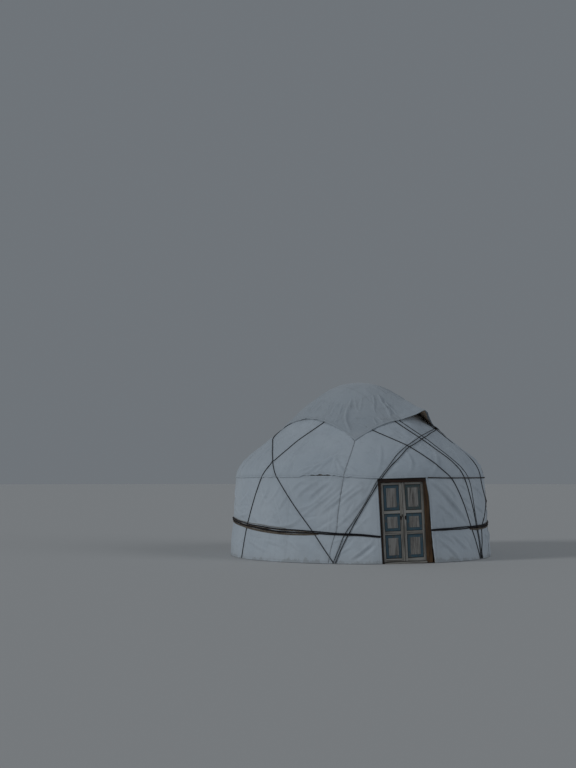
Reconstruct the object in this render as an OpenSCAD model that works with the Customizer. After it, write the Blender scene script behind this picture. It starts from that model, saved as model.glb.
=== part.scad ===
// Canvas-covered yurt with a two-leaf wooden door.
// Millimetres, +Z up. The origin is on the ground, on the axis of the round wall, and the door faces -Y.
// Bearings run from the door (0) towards +X (90) and the back (180).

/* [Outline] */
// Radius of the round wall at the ground
base_r = 2450; // [2400:5:2500]
// Height of the roof cover's lower edge
eave_z = 1450; // [1430:5:1470]
// Rise of the straight part of the roof, per metre inwards
roof_rise = 815; // [795:5:835]
// Height of the crown flap's top
top_z = 3285; // [3260:5:3310]

/* [Covers] */
// Thickness of the canvas
canvas_t = 3; // [2:0.5:3]
// Thickness of the felt under it
felt_t = 9; // [6:1:9]
// Side of the square crown flap
flap_side = 3070; // [2900:10:3150]
// Thickness of the crown flap, felt and canvas together
flap_t = 10; // [8:1:12]
// Height that the right corner of the crown flap is lifted
flap_lift = 263; // [180:1:280]
// Bearing of the flap's front corner
flap_turn = -22; // [-24:1:-20]

/* [Frame] */
// Width of a lattice slat
slat_w = 28; // [22:1:32]
// Thickness of the lattice where its slats cross
slat_t = 16; // [12:1:18]
// Lattice steps along each quarter of the wall
steps = 18; // [16:2:20]
// Diameter of a roof pole
pole_d = 28; // [24:1:32]
// Outer radius of the crown ring
crown_r = 760; // [750:5:765]
// Diameter of the crown's bars
crown_bar_d = 24; // [20:1:26]

/* [Door] */
// Outer width of the door frame
frame_w = 870; // [860:5:880]
// Height of the door frame
frame_h = 1455; // [1450:1:1458]
// Width of each jamb's face beside the leaves
jamb_w = 34; // [32:1:37]
// Depth of the frame
frame_d = 70; // [66:1:74]
// Thickness of a door leaf
leaf_t = 34; // [30:1:36]
// Backward lean of the door frame, in degrees
lean_back = 2.5; // [2:0.1:2.8]
// Sideways lean of the door frame, in degrees
lean_side = 1.6; // [0:0.1:1.8]

/* [Ropes and belt] */
// Diameter of a rope
rope_d = 15; // [12:1:16]
// Height of the belt round the wall, at its broadest
belt_h = 88; // [70:1:95]

/* [Hidden] */

canvas_c = [0.86, 0.88, 0.90];
felt_c = [0.70, 0.66, 0.60];
wood_c = [0.55, 0.45, 0.33];
dark_c = [0.24, 0.15, 0.10];
leaf_c = [0.55, 0.52, 0.46];
blue_c = [0.27, 0.43, 0.48];
rope_c = [0.16, 0.12, 0.10];
iron_c = [0.20, 0.19, 0.18];

// ---- outline: [height, radius], from the ground up over the shoulder to the crown
roof_r0 = base_r - 350;
roof_z0 = eave_z + 410;
function roof_z(r) = roof_z0 + (roof_r0 - r) * roof_rise / 1000;
outline = [
  [0, base_r], [350, base_r - 25], [650, base_r - 45], [900, base_r - 60], [1200, base_r - 80],
  [eave_z, base_r - 100], [eave_z + 100, base_r - 120], [eave_z + 190, base_r - 160],
  [eave_z + 290, base_r - 230], [roof_z0, roof_r0], [roof_z(720), 720]];
function rad(z) = lookup(z, outline);
// outward normal of the outline at a height, as [radial, up]
function nrm(z) = let (d = rad(z + 30) - rad(z - 30), l = sqrt(3600 + d * d)) [60 / l, -d / l];
function on(b, z, off) = let (n = nrm(z), r = rad(z) + off * n[0])
  [r * sin(b), -r * cos(b), z + off * n[1]];
function normal_at(b, z) = let (n = nrm(z)) [n[0] * sin(b), -n[0] * cos(b), n[1]];

// ---- tubes and bands swept along points, each ring given as a list of points
function unit(v) = v / norm(v);
module loft(rings) {
  n = len(rings);
  m = len(rings[0]);
  polyhedron(
    points = [for (g = rings) each g],
    faces = concat(
      [[for (i = [0:m - 1]) i]],
      [for (k = [0:n - 2]) for (i = [0:m - 1])
        let (a = k * m + i, b = k * m + (i + 1) % m, c = a + m, d = b + m) each [[a, d, b], [a, c, d]]],
      [[for (i = [m - 1:-1:0]) (n - 1) * m + i]]),
    convexity = 6);
}
// path: list of [point, side direction]
function tube_ring(c, t, side, r, m) =
  let (u = unit(cross(t, side)), v = cross(u, t))
  [for (i = [0:m - 1]) c + r * (cos(i * 360 / m) * v + sin(i * 360 / m) * u)];
function tangent(p, i) = unit(p[min(i + 1, len(p) - 1)] - p[max(i - 1, 0)]);

// smooth curve through hand-chosen [bearing, height, stand-off] stations
function spline(a, b, c, d, t) =
  0.5 * ((2 * b) + (c - a) * t + (2 * a - 5 * b + 4 * c - d) * t * t + (3 * b - a - 3 * c + d) * t * t * t);
function stations(s, n) = concat([for (k = [0:len(s) - 2]) for (i = [0:n - 1])
    spline(s[max(k - 1, 0)], s[k], s[k + 1], s[min(k + 2, len(s) - 1)], i / n)], [s[len(s) - 1]]);

module rope(s, n = 4, r = rope_d / 2, turn = 0) {
  w = stations(s, n);
  p = [for (q = w) on(q[0] + turn, q[1], q[2])];
  loft([for (i = [0:len(p) - 1]) tube_ring(p[i], tangent(p, i), normal_at(w[i][0] + turn, w[i][1]), r, 6)]);
}

// ---- the round wall and roof, as revolved shells between two bearings
module turned(b0, b1, pts) {
  rotate_extrude(start = b0 - 90, angle = b1 - b0, $fn = 256) polygon(pts);
}
function between(z0, z1) = [for (p = outline) if (p[0] > z0 && p[0] < z1) p[0]];
wall_top = eave_z + 50;
module wall_shell(b0, b1, o0, o1, foot = 0) {
  zs = concat([foot], between(foot, wall_top), [wall_top]);
  turned(b0, b1, concat([for (z = zs) [rad(z) + o1, z]], [for (i = [len(zs) - 1:-1:0]) [rad(zs[i]) + o0, zs[i]]]));
}
module roof_shell(b0, b1, z0, z1, o0, o1) {
  zs = concat([z0], between(z0, z1), [z1]);
  turned(b0, b1, concat(
    [for (z = zs) [rad(z) + o1 * nrm(z)[0], z + o1 * nrm(z)[1]]],
    [for (i = [len(zs) - 1:-1:0]) [rad(zs[i]) + o0 * nrm(zs[i])[0], zs[i] + o0 * nrm(zs[i])[1]]]));
}

// ---- the door frame leans, so all of the door is drawn upright and leaned together
door_y = 2388;
door_x = 20;
module leaned() {
  translate([door_x, -door_y, 0]) rotate([-lean_back, -lean_side, 0]) children();
}
module door_cut(w) {
  leaned() translate([-w / 2, -200, -120]) cube([w, 420, 1720]);
}
module door_cut_right(w) {
  leaned() translate([0, 220, 0]) rotate([90, 0, 0]) linear_extrude(420)
    polygon(concat([[-w / 2, 1600], [-w / 2, -120], [w / 2 + 66, -120]], spread(w / 2), [[w / 2, 1600]]));
}
module above_ground() {
  intersection() {
    children();
    translate([-900, -2700, 0]) cube([1800, 700, 1700]);
  }
}

half_w = frame_w / 2;
inner_w = half_w - jamb_w;        // half of the opening between the jambs
stop_d = frame_d - 46;            // depth of the outer stop that the leaves close against
stop_w = 9;
leaf_y = stop_d + 5;              // outer face of the leaves
lintel_h = 55;
leaf_z0 = 40;
leaf_z1 = frame_h - lintel_h - 6;
leaf_x1 = inner_w - 6;            // hinge side of a leaf
leaf_x0 = 4;                      // meeting side of a leaf
hinge_x = inner_w;
hinge_y = frame_d + 8.5;
hinge_zs = [260, 1150];
stile = 48;
rails = [[leaf_z0, 54], [500, 56], [860, 50], [leaf_z1 - 42, 42]]; // [bottom, height]

// the right jamb spreads outward towards the ground
function spread(x) = [[x + 66, -40], [x + 60, 300], [x + 54, 700], [x + 43, 1150], [x + 5, 1390]];
module jamb_shape() {
  polygon([[-half_w, 0], [-inner_w + stop_w, 0], [-inner_w + stop_w, stop_d], [-inner_w, stop_d],
    [-inner_w, frame_d], [-half_w, frame_d]]);
}
module jamb() { linear_extrude(frame_h - lintel_h + 40) jamb_shape(); }

// ---- door frame
module door_sill() {
  color(dark_c) above_ground() leaned()
    translate([-inner_w + stop_w + 1, -6, -40]) cube([2 * (inner_w - stop_w - 1), frame_d + 6, 72]);
}
module left_jamb() {
  color(dark_c) above_ground() leaned() translate([0, 0, -40]) jamb();
}
module right_jamb() {
  color(dark_c) above_ground() leaned() union() {
    translate([0, 0, -40]) mirror([1, 0, 0]) jamb();
    translate([0, 28, 0]) rotate([90, 0, 0]) linear_extrude(28)
      polygon(concat([[half_w - 8, 1390], [half_w - 8, -40]], spread(half_w)));
  }
}
module lintel() {
  color(dark_c) leaned() union() {
    translate([-half_w, 0, frame_h - lintel_h]) cube([frame_w, frame_d, lintel_h]);
    translate([-inner_w + stop_w + 1, 0, frame_h - lintel_h - stop_w])
      cube([2 * (inner_w - stop_w - 1), stop_d, stop_w + 1]);
  }
}
// fixed half of a hinge: plate on the jamb's room side, lower knuckle and pin
module hinge_fixed(s) {
  for (z = hinge_zs) union() {
    translate([s * (hinge_x + 6) - (s > 0 ? 0 : 26), frame_d, z - 36]) cube([26, 3, 34]);
    translate([s > 0 ? hinge_x : -hinge_x - 7, frame_d, z - 36]) cube([7, hinge_y - frame_d, 34]);
    translate([s * hinge_x, hinge_y, z - 36]) cylinder(r = 8, h = 34, $fn = 48);
    translate([s * hinge_x, hinge_y, z - 20]) cylinder(r = 4, h = 52, $fn = 48);
  }
}
module jamb_hinge_pins() {
  color(iron_c) leaned() { hinge_fixed(-1); hinge_fixed(1); }
}
// moving half of a hinge: strap on the leaf's room side and upper knuckle, bored for the pin
module hinge_moving(s) {
  for (z = hinge_zs) difference() {
    union() {
      translate([s > 0 ? hinge_x - 90 : -hinge_x + 6, leaf_y + leaf_t, z - 1]) cube([84, 3, 34]);
      translate([s > 0 ? hinge_x - 10 : -hinge_x + 3, leaf_y + leaf_t, z - 1]) cube([7, hinge_y - leaf_y - leaf_t, 34]);
      translate([s * hinge_x, hinge_y, z - 1]) cylinder(r = 8, h = 34, $fn = 48);
    }
    translate([s * hinge_x, hinge_y, z - 11]) cylinder(r = 4.05, h = 60, $fn = 48);
  }
}

// ---- door leaves
module leaf_frame(s) {
  x0 = s > 0 ? leaf_x0 : -leaf_x1;
  w = leaf_x1 - leaf_x0;
  difference() {
    translate([x0, leaf_y, leaf_z0]) cube([w, leaf_t, leaf_z1 - leaf_z0]);
    for (k = [0:2])
      translate([x0 + stile, leaf_y - 10, rails[k][0] + rails[k][1]])
        cube([w - 2 * stile, leaf_t + 20, rails[k + 1][0] - rails[k][0] - rails[k][1]]);
  }
}
// each panel: a thin sheet with a raised bevelled field on both faces
module leaf_panels(s) {
  x0 = s > 0 ? leaf_x0 : -leaf_x1;
  w = leaf_x1 - leaf_x0 - 2 * stile;
  for (k = [0:2]) {
    z0 = rails[k][0] + rails[k][1];
    h = rails[k + 1][0] - z0;
    union() {
      translate([x0 + stile, leaf_y + 12, z0]) cube([w, 10, h]);
      translate([x0 + stile + 56, leaf_y + 5, z0 + 56]) cube([w - 112, leaf_t - 10, h - 112]);
    }
  }
}
ring_z = 800;
module door_ring(s) {
  x = s * 42;
  union() {
    translate([x, leaf_y, ring_z]) rotate([90, 0, 0]) cylinder(r = 9.8, h = 4, $fn = 48);
    translate([x, leaf_y - 3, ring_z]) rotate([90, 0, 90])
      rotate_extrude(start = 90, angle = 180, $fn = 48) translate([6.5, 0]) circle(r = 2.3, $fn = 24);
  }
  translate([x, leaf_y - 5.4, ring_z - 15]) rotate([90, 0, 0])
    rotate_extrude($fn = 64) translate([13, 0]) circle(r = 2, $fn = 24);
}
module left_leaf_frame() { color(leaf_c) leaned() leaf_frame(-1); }
module left_leaf_panels() { color(blue_c) leaned() leaf_panels(-1); }
module left_leaf_hinges() { color(iron_c) leaned() hinge_moving(-1); }
module left_door_ring() { color(iron_c) leaned() door_ring(-1); }
module right_leaf_frame() { color(leaf_c) leaned() leaf_frame(1); }
module right_leaf_panels() { color(blue_c) leaned() leaf_panels(1); }
module right_leaf_hinges() { color(iron_c) leaned() hinge_moving(1); }
module right_door_ring() { color(iron_c) leaned() door_ring(1); }
module meeting_bead() {
  color(leaf_c) leaned() translate([-15, leaf_y, leaf_z0 + 4]) linear_extrude(leaf_z1 - leaf_z0 - 18)
    intersection() { circle(r = 11, $fn = 32); translate([-11, -11]) square([22, 11]); }
}

// ---- lattice: slats cross on a grid of steps along and up the wall, fused where they cross
door_gap = 12.9;          // bearing where the lattice starts beside the door frame
quarter = (180 - door_gap) / 2;
rows = 7;
lat_z0 = 22;
lat_dz = 200;
function lat_b(q, i) = let (b0 = q == 0 ? -door_gap : q == 1 ? -door_gap - quarter : q == 2 ? 180 : door_gap + quarter)
  b0 - 0.5 - i * (quarter - 1) / steps;
// flat panels two steps wide, side by side round the wall, with a rhombic opening between every four crossings
module lattice(q) {
  turn = (quarter - 1) / steps * 2;                         // bearing that one panel covers
  zt = lat_z0 + rows * lat_dz + 24;
  foot = rad(0) - 45;
  top = rad(zt) - 45;
  lean = atan((foot - top) / zt);
  sw = (foot + top) / 2 * tan(turn / 2);                    // half of a panel's width
  f = 1 - slat_w / 2 * norm([sw, lat_dz]) / (sw * lat_dz);  // a cell less the width of its slats
  union() for (j = [0:steps / 2 - 1])
    rotate([0, 0, lat_b(q, 2 * j + 1)]) translate([0, -foot, 0]) rotate([-lean, 0, 0]) rotate([90, 0, 0])
      linear_extrude(slat_t, center = true) difference() {
        polygon([[-foot * tan(turn / 2) - 1.5, 1], [foot * tan(turn / 2) + 1.5, 1], [top * tan(turn / 2) + 1.5, zt], [-top * tan(turn / 2) - 1.5, zt]]);
        for (k = [0:rows]) for (x = k % 2 == 0 ? [0] : [-sw, sw]) translate([x, lat_z0 + k * lat_dz])
          polygon([[sw * f, 0], [0, lat_dz * f], [-sw * f, 0], [0, -lat_dz * f]]);
      }
}
module lattice_front_left() { color(wood_c) lattice(0); }
module lattice_back_left() { color(wood_c) lattice(1); }
module lattice_back_right() { color(wood_c) lattice(2); }
module lattice_front_right() { color(wood_c) lattice(3); }

// ---- roof poles: curved at the foot, straight to the crown
pole_heights = [[1400, -74], [1500, -66], [1600, -52], [1700, -44], [1820, -40], [1960, -40], [2940, -50]];
door_pole_heights = [[1490, -58], [1560, -52], [1640, -46], [1740, -42], [1840, -40], [1960, -40], [2940, -50]];
module pole(b, h) {
  dz = eave_z - 1450;
  p = [for (q = h) on(b, q[0] + dz, q[1])];
  side = [cos(b), sin(b), 0];
  loft([for (i = [0:len(p) - 1]) tube_ring(p[i], tangent(p, i), side, (i == len(p) - 1 ? 0.7 : 1) * pole_d / 2, 6)]);
}
module quarter_poles(q, lo, hi) { for (i = [lo:2:hi]) pole(lat_b(q, i), pole_heights); }
module roof_poles_left() { color(wood_c) { quarter_poles(0, 5, steps - 1); quarter_poles(1, 1, 5); } }
module roof_poles_back() { color(wood_c) { quarter_poles(1, 7, steps - 1); quarter_poles(2, 1, 11); } }
module roof_poles_right() { color(wood_c) { quarter_poles(2, 13, steps - 1); quarter_poles(3, 1, steps - 5); } }
module roof_poles_door() {
  color(wood_c) {
    quarter_poles(3, steps - 3, steps - 1);
    quarter_poles(0, 1, 3);
    for (b = [-8.6:4.3:8.6]) pole(b, door_pole_heights);
  }
}

// ---- crown: ring, and two crossed sets of arched bars
ring_t = 60;
ring_h = 85;
ring_top = roof_z(crown_r) - 2;
crown_R = 1155;
crown_zc = top_z - 45 - crown_R;
module crown_ring() {
  color(dark_c) translate([0, 0, ring_top - ring_h]) rotate_extrude($fn = 256)
    translate([crown_r - ring_t, 0]) square([ring_t, ring_h]);
}
module arch_bar(off, drop) {
  R = sqrt((crown_R - drop) * (crown_R - drop) - off * off);
  half = acos((ring_top - 22 - crown_zc) / R);
  translate([0, off, crown_zc]) rotate([90, 0, 0])
    rotate_extrude(start = 90 - half, angle = 2 * half, $fn = 200) translate([R, 0]) circle(r = crown_bar_d / 2, $fn = 32);
}
module crown_bars_lengthwise() { color(dark_c) rotate([0, 0, 90]) for (o = [-190, 0, 190]) arch_bar(o, 0); }
module crown_bars_crosswise() { color(dark_c) for (o = [-190, 0, 190]) arch_bar(o, crown_bar_d + 2); }

// ---- covers
canvas_o = -3;                    // the wall canvas lies just inside the roof canvas that laps over it
felt_o = canvas_o - canvas_t - 1;
module wall_canvas(b0, b1) { wall_shell(b0, b1, canvas_o - canvas_t, canvas_o, 2); }  // its hem just clears the ground
module wall_felt(b0, b1) { wall_shell(b0, b1, felt_o - felt_t, felt_o); }
side_split = 96;
module wall_felt_front_left() { color(felt_c) difference() { wall_felt(-side_split, -6); door_cut(frame_w + 20); } }
module wall_felt_back_left() { color(felt_c) wall_felt(-180, -side_split - 0.05); }
module wall_felt_back_right() { color(felt_c) wall_felt(side_split + 0.05, 179.95); }
module wall_felt_front_right() { color(felt_c) difference() { wall_felt(6, side_split); door_cut_right(frame_w + 20); } }
module wall_canvas_front_left() { color(canvas_c) difference() { wall_canvas(-side_split, -6); door_cut(frame_w + 8); } }
module wall_canvas_back_left() { color(canvas_c) wall_canvas(-180, -side_split - 0.05); }
module wall_canvas_back_right() { color(canvas_c) wall_canvas(side_split + 0.05, 179.95); }
module wall_canvas_front_right() { color(canvas_c) difference() { wall_canvas(6, side_split); door_cut_right(frame_w + 8); } }
roof_end = roof_z(795);
module roof_felt_front() { color(felt_c) roof_shell(-90, 90, eave_z + 62, roof_end, -canvas_t - 0.5 - felt_t, -canvas_t - 0.5); }
module roof_felt_back() { color(felt_c) roof_shell(90.05, 269.95, eave_z + 62, roof_end, -canvas_t - 0.5 - felt_t, -canvas_t - 0.5); }
module roof_canvas_front() {
  color(canvas_c) difference() {
    roof_shell(-90, 90, eave_z, roof_end, -canvas_t + 0.5, 0);
    leaned() translate([-half_w - 4, -200, 1000]) cube([frame_w + 8, 420, frame_h + 4 - 1000]);
  }
}
module roof_canvas_back() { color(canvas_c) roof_shell(90.05, 269.95, eave_z, roof_end, -canvas_t + 0.5, 0); }

// ---- crown flap: a square sheet laid over the crown, one corner lifted
flap_pts = [[0, top_z], [300, top_z - 35], [560, top_z - 135], [780, top_z - 275], [1000, top_z - 465],
  [1200, roof_z(1200) + 36], [1300, roof_z(1300) + 29], [1460, roof_z(1460) + 22], [1700, roof_z(1700) + 19], [2000, roof_z(2000) + 19]];
function run(i) = i == 0 ? 0 : run(i - 1) + norm(flap_pts[i] - flap_pts[i - 1]);
flap_r = [for (i = [0:len(flap_pts) - 1]) [run(i), flap_pts[i][0]]];
flap_z = [for (i = [0:len(flap_pts) - 1]) [run(i), flap_pts[i][1]]];
flap_n = 22;
flap_shift = 45; // the sheet reaches a little further on the door's right
function bump(t) = t <= 0 || t >= 1 ? 0 : let (s = sin(180 * t)) s * s;
// lift of the sheet near its right corner: u, v run from -1 to 1, the front corner is (-1, -1), the right corner (1, -1)
lift_at = [[-0.12, 0], [0, 0.29], [0.1, 0.61], [0.2, 1], [0.3, 0.76], [0.4, 0.48], [0.5, 0.27], [0.6, 0.11], [0.8, 0.05], [1, 0]];
function raised(u, v) =
  let (a = v < -0.35 ? lookup(u, lift_at) * pow((-v - 0.35) / 0.65, 1.4) : 0,
       b = u > 0.35 ? bump((1.02 + v) / 1.6) * pow((u - 0.35) / 0.65, 2) * 0.18 : 0)
  flap_lift * max(a, b);
// its right corner is drawn in a little, its left corner more
function drawn_in(u, v) = 1 - (u > 0 && v < 0 ? 0.085 : u < 0 && v > 0 ? 0.12 : 0) * u * u * v * v;
function flap_point(u, v, o) =
  let (x = u * flap_side / 2, y = v * flap_side / 2 - flap_shift * (1 - v) / 2,
       s = norm([x, y]) * drawn_in(u, v),
       b = atan2(y, x) + flap_turn + 135,
       h = raised(u, v) + o,
       r = lookup(s, flap_r), z = lookup(s, flap_z),
       dr = lookup(s + 40, flap_r) - lookup(max(s - 40, 0), flap_r),
       dz = lookup(s + 40, flap_z) - lookup(max(s - 40, 0), flap_z),
       l = norm([dr, dz]), rr = r - h * dz / l)
  [rr * sin(b), -rr * cos(b), z + h * dr / l];
module crown_flap() {
  n = flap_n;
  w = n + 1;
  top = [for (j = [0:n]) for (i = [0:n]) flap_point(2 * i / n - 1, 2 * j / n - 1, 0)];
  bot = [for (j = [0:n]) for (i = [0:n]) flap_point(2 * i / n - 1, 2 * j / n - 1, -flap_t)];
  o = w * w;
  rim = concat([for (i = [0:n - 1]) i], [for (j = [0:n - 1]) j * w + n], [for (i = [n:-1:1]) n * w + i], [for (j = [n:-1:1]) j * w]);
  color(canvas_c) polyhedron(points = concat(top, bot), faces = concat(
    [for (j = [0:n - 1]) for (i = [0:n - 1]) let (a = j * w + i) each [[a, a + 1 + w, a + 1], [a, a + w, a + 1 + w]]],
    [for (j = [0:n - 1]) for (i = [0:n - 1]) let (a = o + j * w + i) each [[a, a + 1, a + 1 + w], [a, a + 1 + w, a + w]]],
    [for (k = [0:len(rim) - 1]) let (a = rim[k], b = rim[(k + 1) % len(rim)]) each [[a, b, b + o], [a, b + o, a + o]]]),
    convexity = 8);
}

// ---- belt of bands round the wall: [bearing, height of its middle, its breadth]
belt_l = [[-10.9, 455, 46], [-20, 490, 54], [-29, 498, 62], [-40, 518, 84], [-56, 536, 104], [-72, 588, 108],
  [-96, 660, 90], [-120, 668, 70], [-150, 664, 58], [-178.5, 660, 52]];
belt_r = [[11.7, 554, 40], [16, 560, 44], [23, 565, 56], [30, 567, 72], [40, 574, 88], [49, 576, 88], [60, 592, 82], [80, 625, 70],
  [110, 650, 60], [145, 656, 54], [178.5, 658, 52]];
module belt(s) {
  w = stations(s, 6);
  k = belt_h / 88;
  loft([for (q = w) let (h = q[2] * k / 2) [
    on(q[0], q[1] - h, 17), on(q[0], q[1] - h, 28), on(q[0], q[1] + h, 28), on(q[0], q[1] + h, 17)]]);
}
module belt_left() { color(rope_c) belt([for (i = [len(belt_l) - 1:-1:0]) belt_l[i]]); }
module belt_right() { color(rope_c) belt(belt_r); }

// ---- ropes over the covers: [bearing, height, stand-off], from the crown flap's edge down to the foot of the wall
rope_a = [[-47.6, 2440, 12], [-56.7, 2156, 12], [-60.4, 1900, 14], [-62.7, 1738, 27], [-67, 1460, 12], [-71.6, 1070, 8],
  [-75.6, 670, 5.5], [-78.1, 330, 8], [-79.6, 14, 8]];
rope_b = [[-102.5, 2300, 12], [-92.4, 2203, 12], [-79.5, 2080, 12], [-69.8, 1922, 12], [-62.8, 1738, 12], [-55.9, 1410, 11.5],
  [-47.5, 990, 8], [-39.2, 580, 5.5], [-33.8, 270, 8], [-29.4, 14, 8]];
rope_c1 = [[58, 2363, 12], [49.5, 2331, 12], [38.1, 2283, 14], [29.1, 2218, 24], [21, 2146, 27], [9.6, 2015, 27], [3.8, 1912, 18],
  [-5, 1666, 14], [-9.7, 1450, 25], [-10.9, 1380, 25], [-13.6, 1200, 9], [-17.2, 960, 8], [-22.7, 560, 5.5], [-26.4, 250, 8], [-28.6, 14, 8]];
rope_c2 = [[56, 2384, 12], [47.3, 2346, 12], [37, 2303, 14], [27.3, 2243, 24], [19.2, 2171, 27], [7.5, 2023, 27], [-1, 1852, 16],
  [-7.2, 1613, 14], [-10.6, 1450, 31], [-12, 1380, 25], [-14.6, 1180, 9], [-18, 940, 8], [-22.1, 681, 6], [-25, 500, 5.5], [-27.6, 230, 8], [-29.6, 14, 8]];
rope_d1 = [[-9.2, 2294, 12], [1.2, 2140, 12], [8.5, 2005, 12], [14.5, 1806, 12], [19.7, 1614, 12], [25.8, 1400, 11.5],
  [31.8, 1011, 8], [36.2, 620, 5.5], [39.6, 361, 8], [43.2, 14, 8]];
rope_e1 = [[11.1, 2455, 12], [20.9, 2160, 12], [26.1, 1905, 12], [29.3, 1740, 12], [35, 1370, 11.5], [39.6, 904, 8],
  [41.9, 560, 5.5], [43.4, 283, 8], [43.8, 14, 8]];
rope_e2 = [[16, 2469, 12], [25.2, 2160, 12], [29.4, 1881, 12], [32.2, 1714, 12], [38.3, 1380, 11.5], [40.6, 962, 8],
  [42.2, 560, 5.5], [43.9, 283, 8], [44.4, 14, 8]];
rope_f = [[58, 2330, 12], [56.5, 2100, 12], [54.5, 1850, 12], [52.5, 1650, 12], [52, 1480, 12], [54.5, 1300, 11], [58, 1160, 8],
  [62.5, 1010, 8], [68, 800, 6.5], [73, 600, 5.5], [77, 330, 8], [80, 14, 8]];
rope_g = [[92.5, 2430, 27], [88, 2200, 29], [84.5, 2050, 19], [81, 1900, 12], [75.5, 1640, 12], [71, 1400, 11.5], [65, 1140, 8], [58.5, 900, 8],
  [52, 710, 6.5], [48, 570, 5.5], [47.3, 430, 7], [46.8, 290, 8], [45.4, 150, 8], [45, 14, 8]];
// thin ties from the flap's corners to the foot of the wall
tie = [[-21.6, 2072, 11], [-23.8, 1753, 10], [-25.4, 1520, 10], [-26.5, 1240, 8], [-27.7, 880, 8], [-28.3, 600, 5.5],
  [-29.4, 448, 5.5], [-31, 185, 7], [-31.6, 14, 8]];
// cord along the roof cover's edge, right of the door and round the back
eave_front = [[11.5, 1466, 10.5], [20, 1460, 10.5], [38, 1459, 10.5], [67, 1459, 10.5], [95.9, 1460, 10.5]];
eave_back = [[96.1, 1460, 10.5], [122, 1460, 10.5], [149, 1460, 10.5], [176, 1460, 10.5]];
module ropes_front() {
  color(rope_c) {
    for (s = [rope_a, rope_b, rope_c1, rope_c2, rope_d1, rope_e1, rope_e2, rope_f, rope_g]) rope(s);
    rope(tie, 5, 5);
    rope(tie, 5, 5, 90);
    rope(eave_front, 6, 7);
  }
}
rope_c_back = concat([[46, 2400, 12], [42, 2330, 12]], [for (i = [2:len(rope_c1) - 1]) rope_c1[i]]);
module ropes_back() {
  color(rope_c) {
    for (s = [rope_a, rope_b, rope_c_back, rope_d1, rope_e1]) rope(s, turn = 180);
    rope(tie, 5, 5, 180);
    rope(concat([[-20.6, 2215, 11]], tie), 5, 5, 270);
    rope(eave_back, 6, 7);
  }
}

door_sill();
left_jamb();
right_jamb();
lintel();
jamb_hinge_pins();
left_leaf_frame();
left_leaf_panels();
left_leaf_hinges();
left_door_ring();
meeting_bead();
right_leaf_frame();
right_leaf_panels();
right_leaf_hinges();
right_door_ring();
lattice_front_left();
lattice_back_left();
lattice_back_right();
lattice_front_right();
roof_poles_left();
roof_poles_back();
roof_poles_right();
roof_poles_door();
crown_ring();
crown_bars_lengthwise();
crown_bars_crosswise();
wall_felt_front_left();
wall_felt_back_left();
wall_felt_back_right();
wall_felt_front_right();
wall_canvas_front_left();
wall_canvas_back_left();
wall_canvas_back_right();
wall_canvas_front_right();
roof_felt_front();
roof_felt_back();
roof_canvas_front();
roof_canvas_back();
crown_flap();
belt_left();
belt_right();
ropes_front();
ropes_back();
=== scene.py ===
import math

import bpy
import numpy as np
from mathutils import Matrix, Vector


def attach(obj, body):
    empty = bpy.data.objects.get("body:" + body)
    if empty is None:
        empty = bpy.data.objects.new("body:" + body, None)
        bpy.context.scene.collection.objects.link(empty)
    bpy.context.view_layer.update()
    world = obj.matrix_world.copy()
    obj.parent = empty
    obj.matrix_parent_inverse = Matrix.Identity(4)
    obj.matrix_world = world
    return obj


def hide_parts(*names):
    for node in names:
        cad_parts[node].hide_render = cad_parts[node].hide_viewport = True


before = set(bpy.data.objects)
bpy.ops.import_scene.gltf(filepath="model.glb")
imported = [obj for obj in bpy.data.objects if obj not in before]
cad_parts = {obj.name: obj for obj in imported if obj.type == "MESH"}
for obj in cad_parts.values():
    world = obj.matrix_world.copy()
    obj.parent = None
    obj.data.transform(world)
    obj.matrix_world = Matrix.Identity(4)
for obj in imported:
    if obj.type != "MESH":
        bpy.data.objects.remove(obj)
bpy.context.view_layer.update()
coarse = 1.0

# ---------------------------------------------------------------- numbers shared with the frame (metres, degrees)
# bearing 0 is the door (-Y), 90 is +X, 180 is the back


def roof_z(r):
    return 1.86 + (2.1 - r) * 0.815


def smooth_through(x, y, flat_start=False):
    """A monotone cubic through points."""
    x, y = np.asarray(x, float), np.asarray(y, float)
    h = np.diff(x)
    d = np.diff(y) / h
    m = np.zeros(len(x))
    for i in range(1, len(x) - 1):
        if d[i - 1] * d[i] > 0:
            w1, w2 = 2 * h[i] + h[i - 1], h[i] + 2 * h[i - 1]
            m[i] = (w1 + w2) / (w1 / d[i - 1] + w2 / d[i])
    m[0], m[-1] = (0 if flat_start else d[0]), d[-1]

    def f(q):
        q = np.asarray(q, float)
        k = np.clip(np.searchsorted(x, q) - 1, 0, len(h) - 1)
        t = (q - x[k]) / h[k]
        return (
            (1 + 2 * t) * (1 - t) ** 2 * y[k]
            + t * (1 - t) ** 2 * h[k] * m[k]
            + t * t * (3 - 2 * t) * y[k + 1]
            + t * t * (t - 1) * h[k] * m[k + 1]
        )

    return f


OUT_R = [2.45, 2.425, 2.405, 2.39, 2.37, 2.35, 2.33, 2.29, 2.22, 2.1, 1.9, 1.6, 1.3, 1.0, 0.72]
OUT_Z = [0, 0.35, 0.65, 0.9, 1.2, 1.45, 1.55, 1.64, 1.74] + [roof_z(r) for r in OUT_R[9:]]
ZF = np.linspace(0, OUT_Z[-1], 3001)
RF = smooth_through(OUT_Z, OUT_R)(ZF)
SF = np.concatenate([[0], np.cumsum(np.hypot(np.diff(ZF), np.diff(RF)))])
k30 = 30
pad_r = np.concatenate([np.full(k30, RF[0]), RF, RF[-1] - (RF[-2] - RF[-1]) * np.arange(1, k30 + 1)])
pad_z = np.concatenate([ZF[0] - 0.001 * np.arange(k30, 0, -1), ZF, ZF[-1] + (ZF[-1] - ZF[-2]) * np.arange(1, k30 + 1)])
dr = pad_r[2 * k30 :] - pad_r[: -2 * k30]
dz = pad_z[2 * k30 :] - pad_z[: -2 * k30]
NR, NZ = dz / np.hypot(dr, dz), -dr / np.hypot(dr, dz)


def s_of(z):
    return np.interp(z, ZF, SF)


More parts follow.
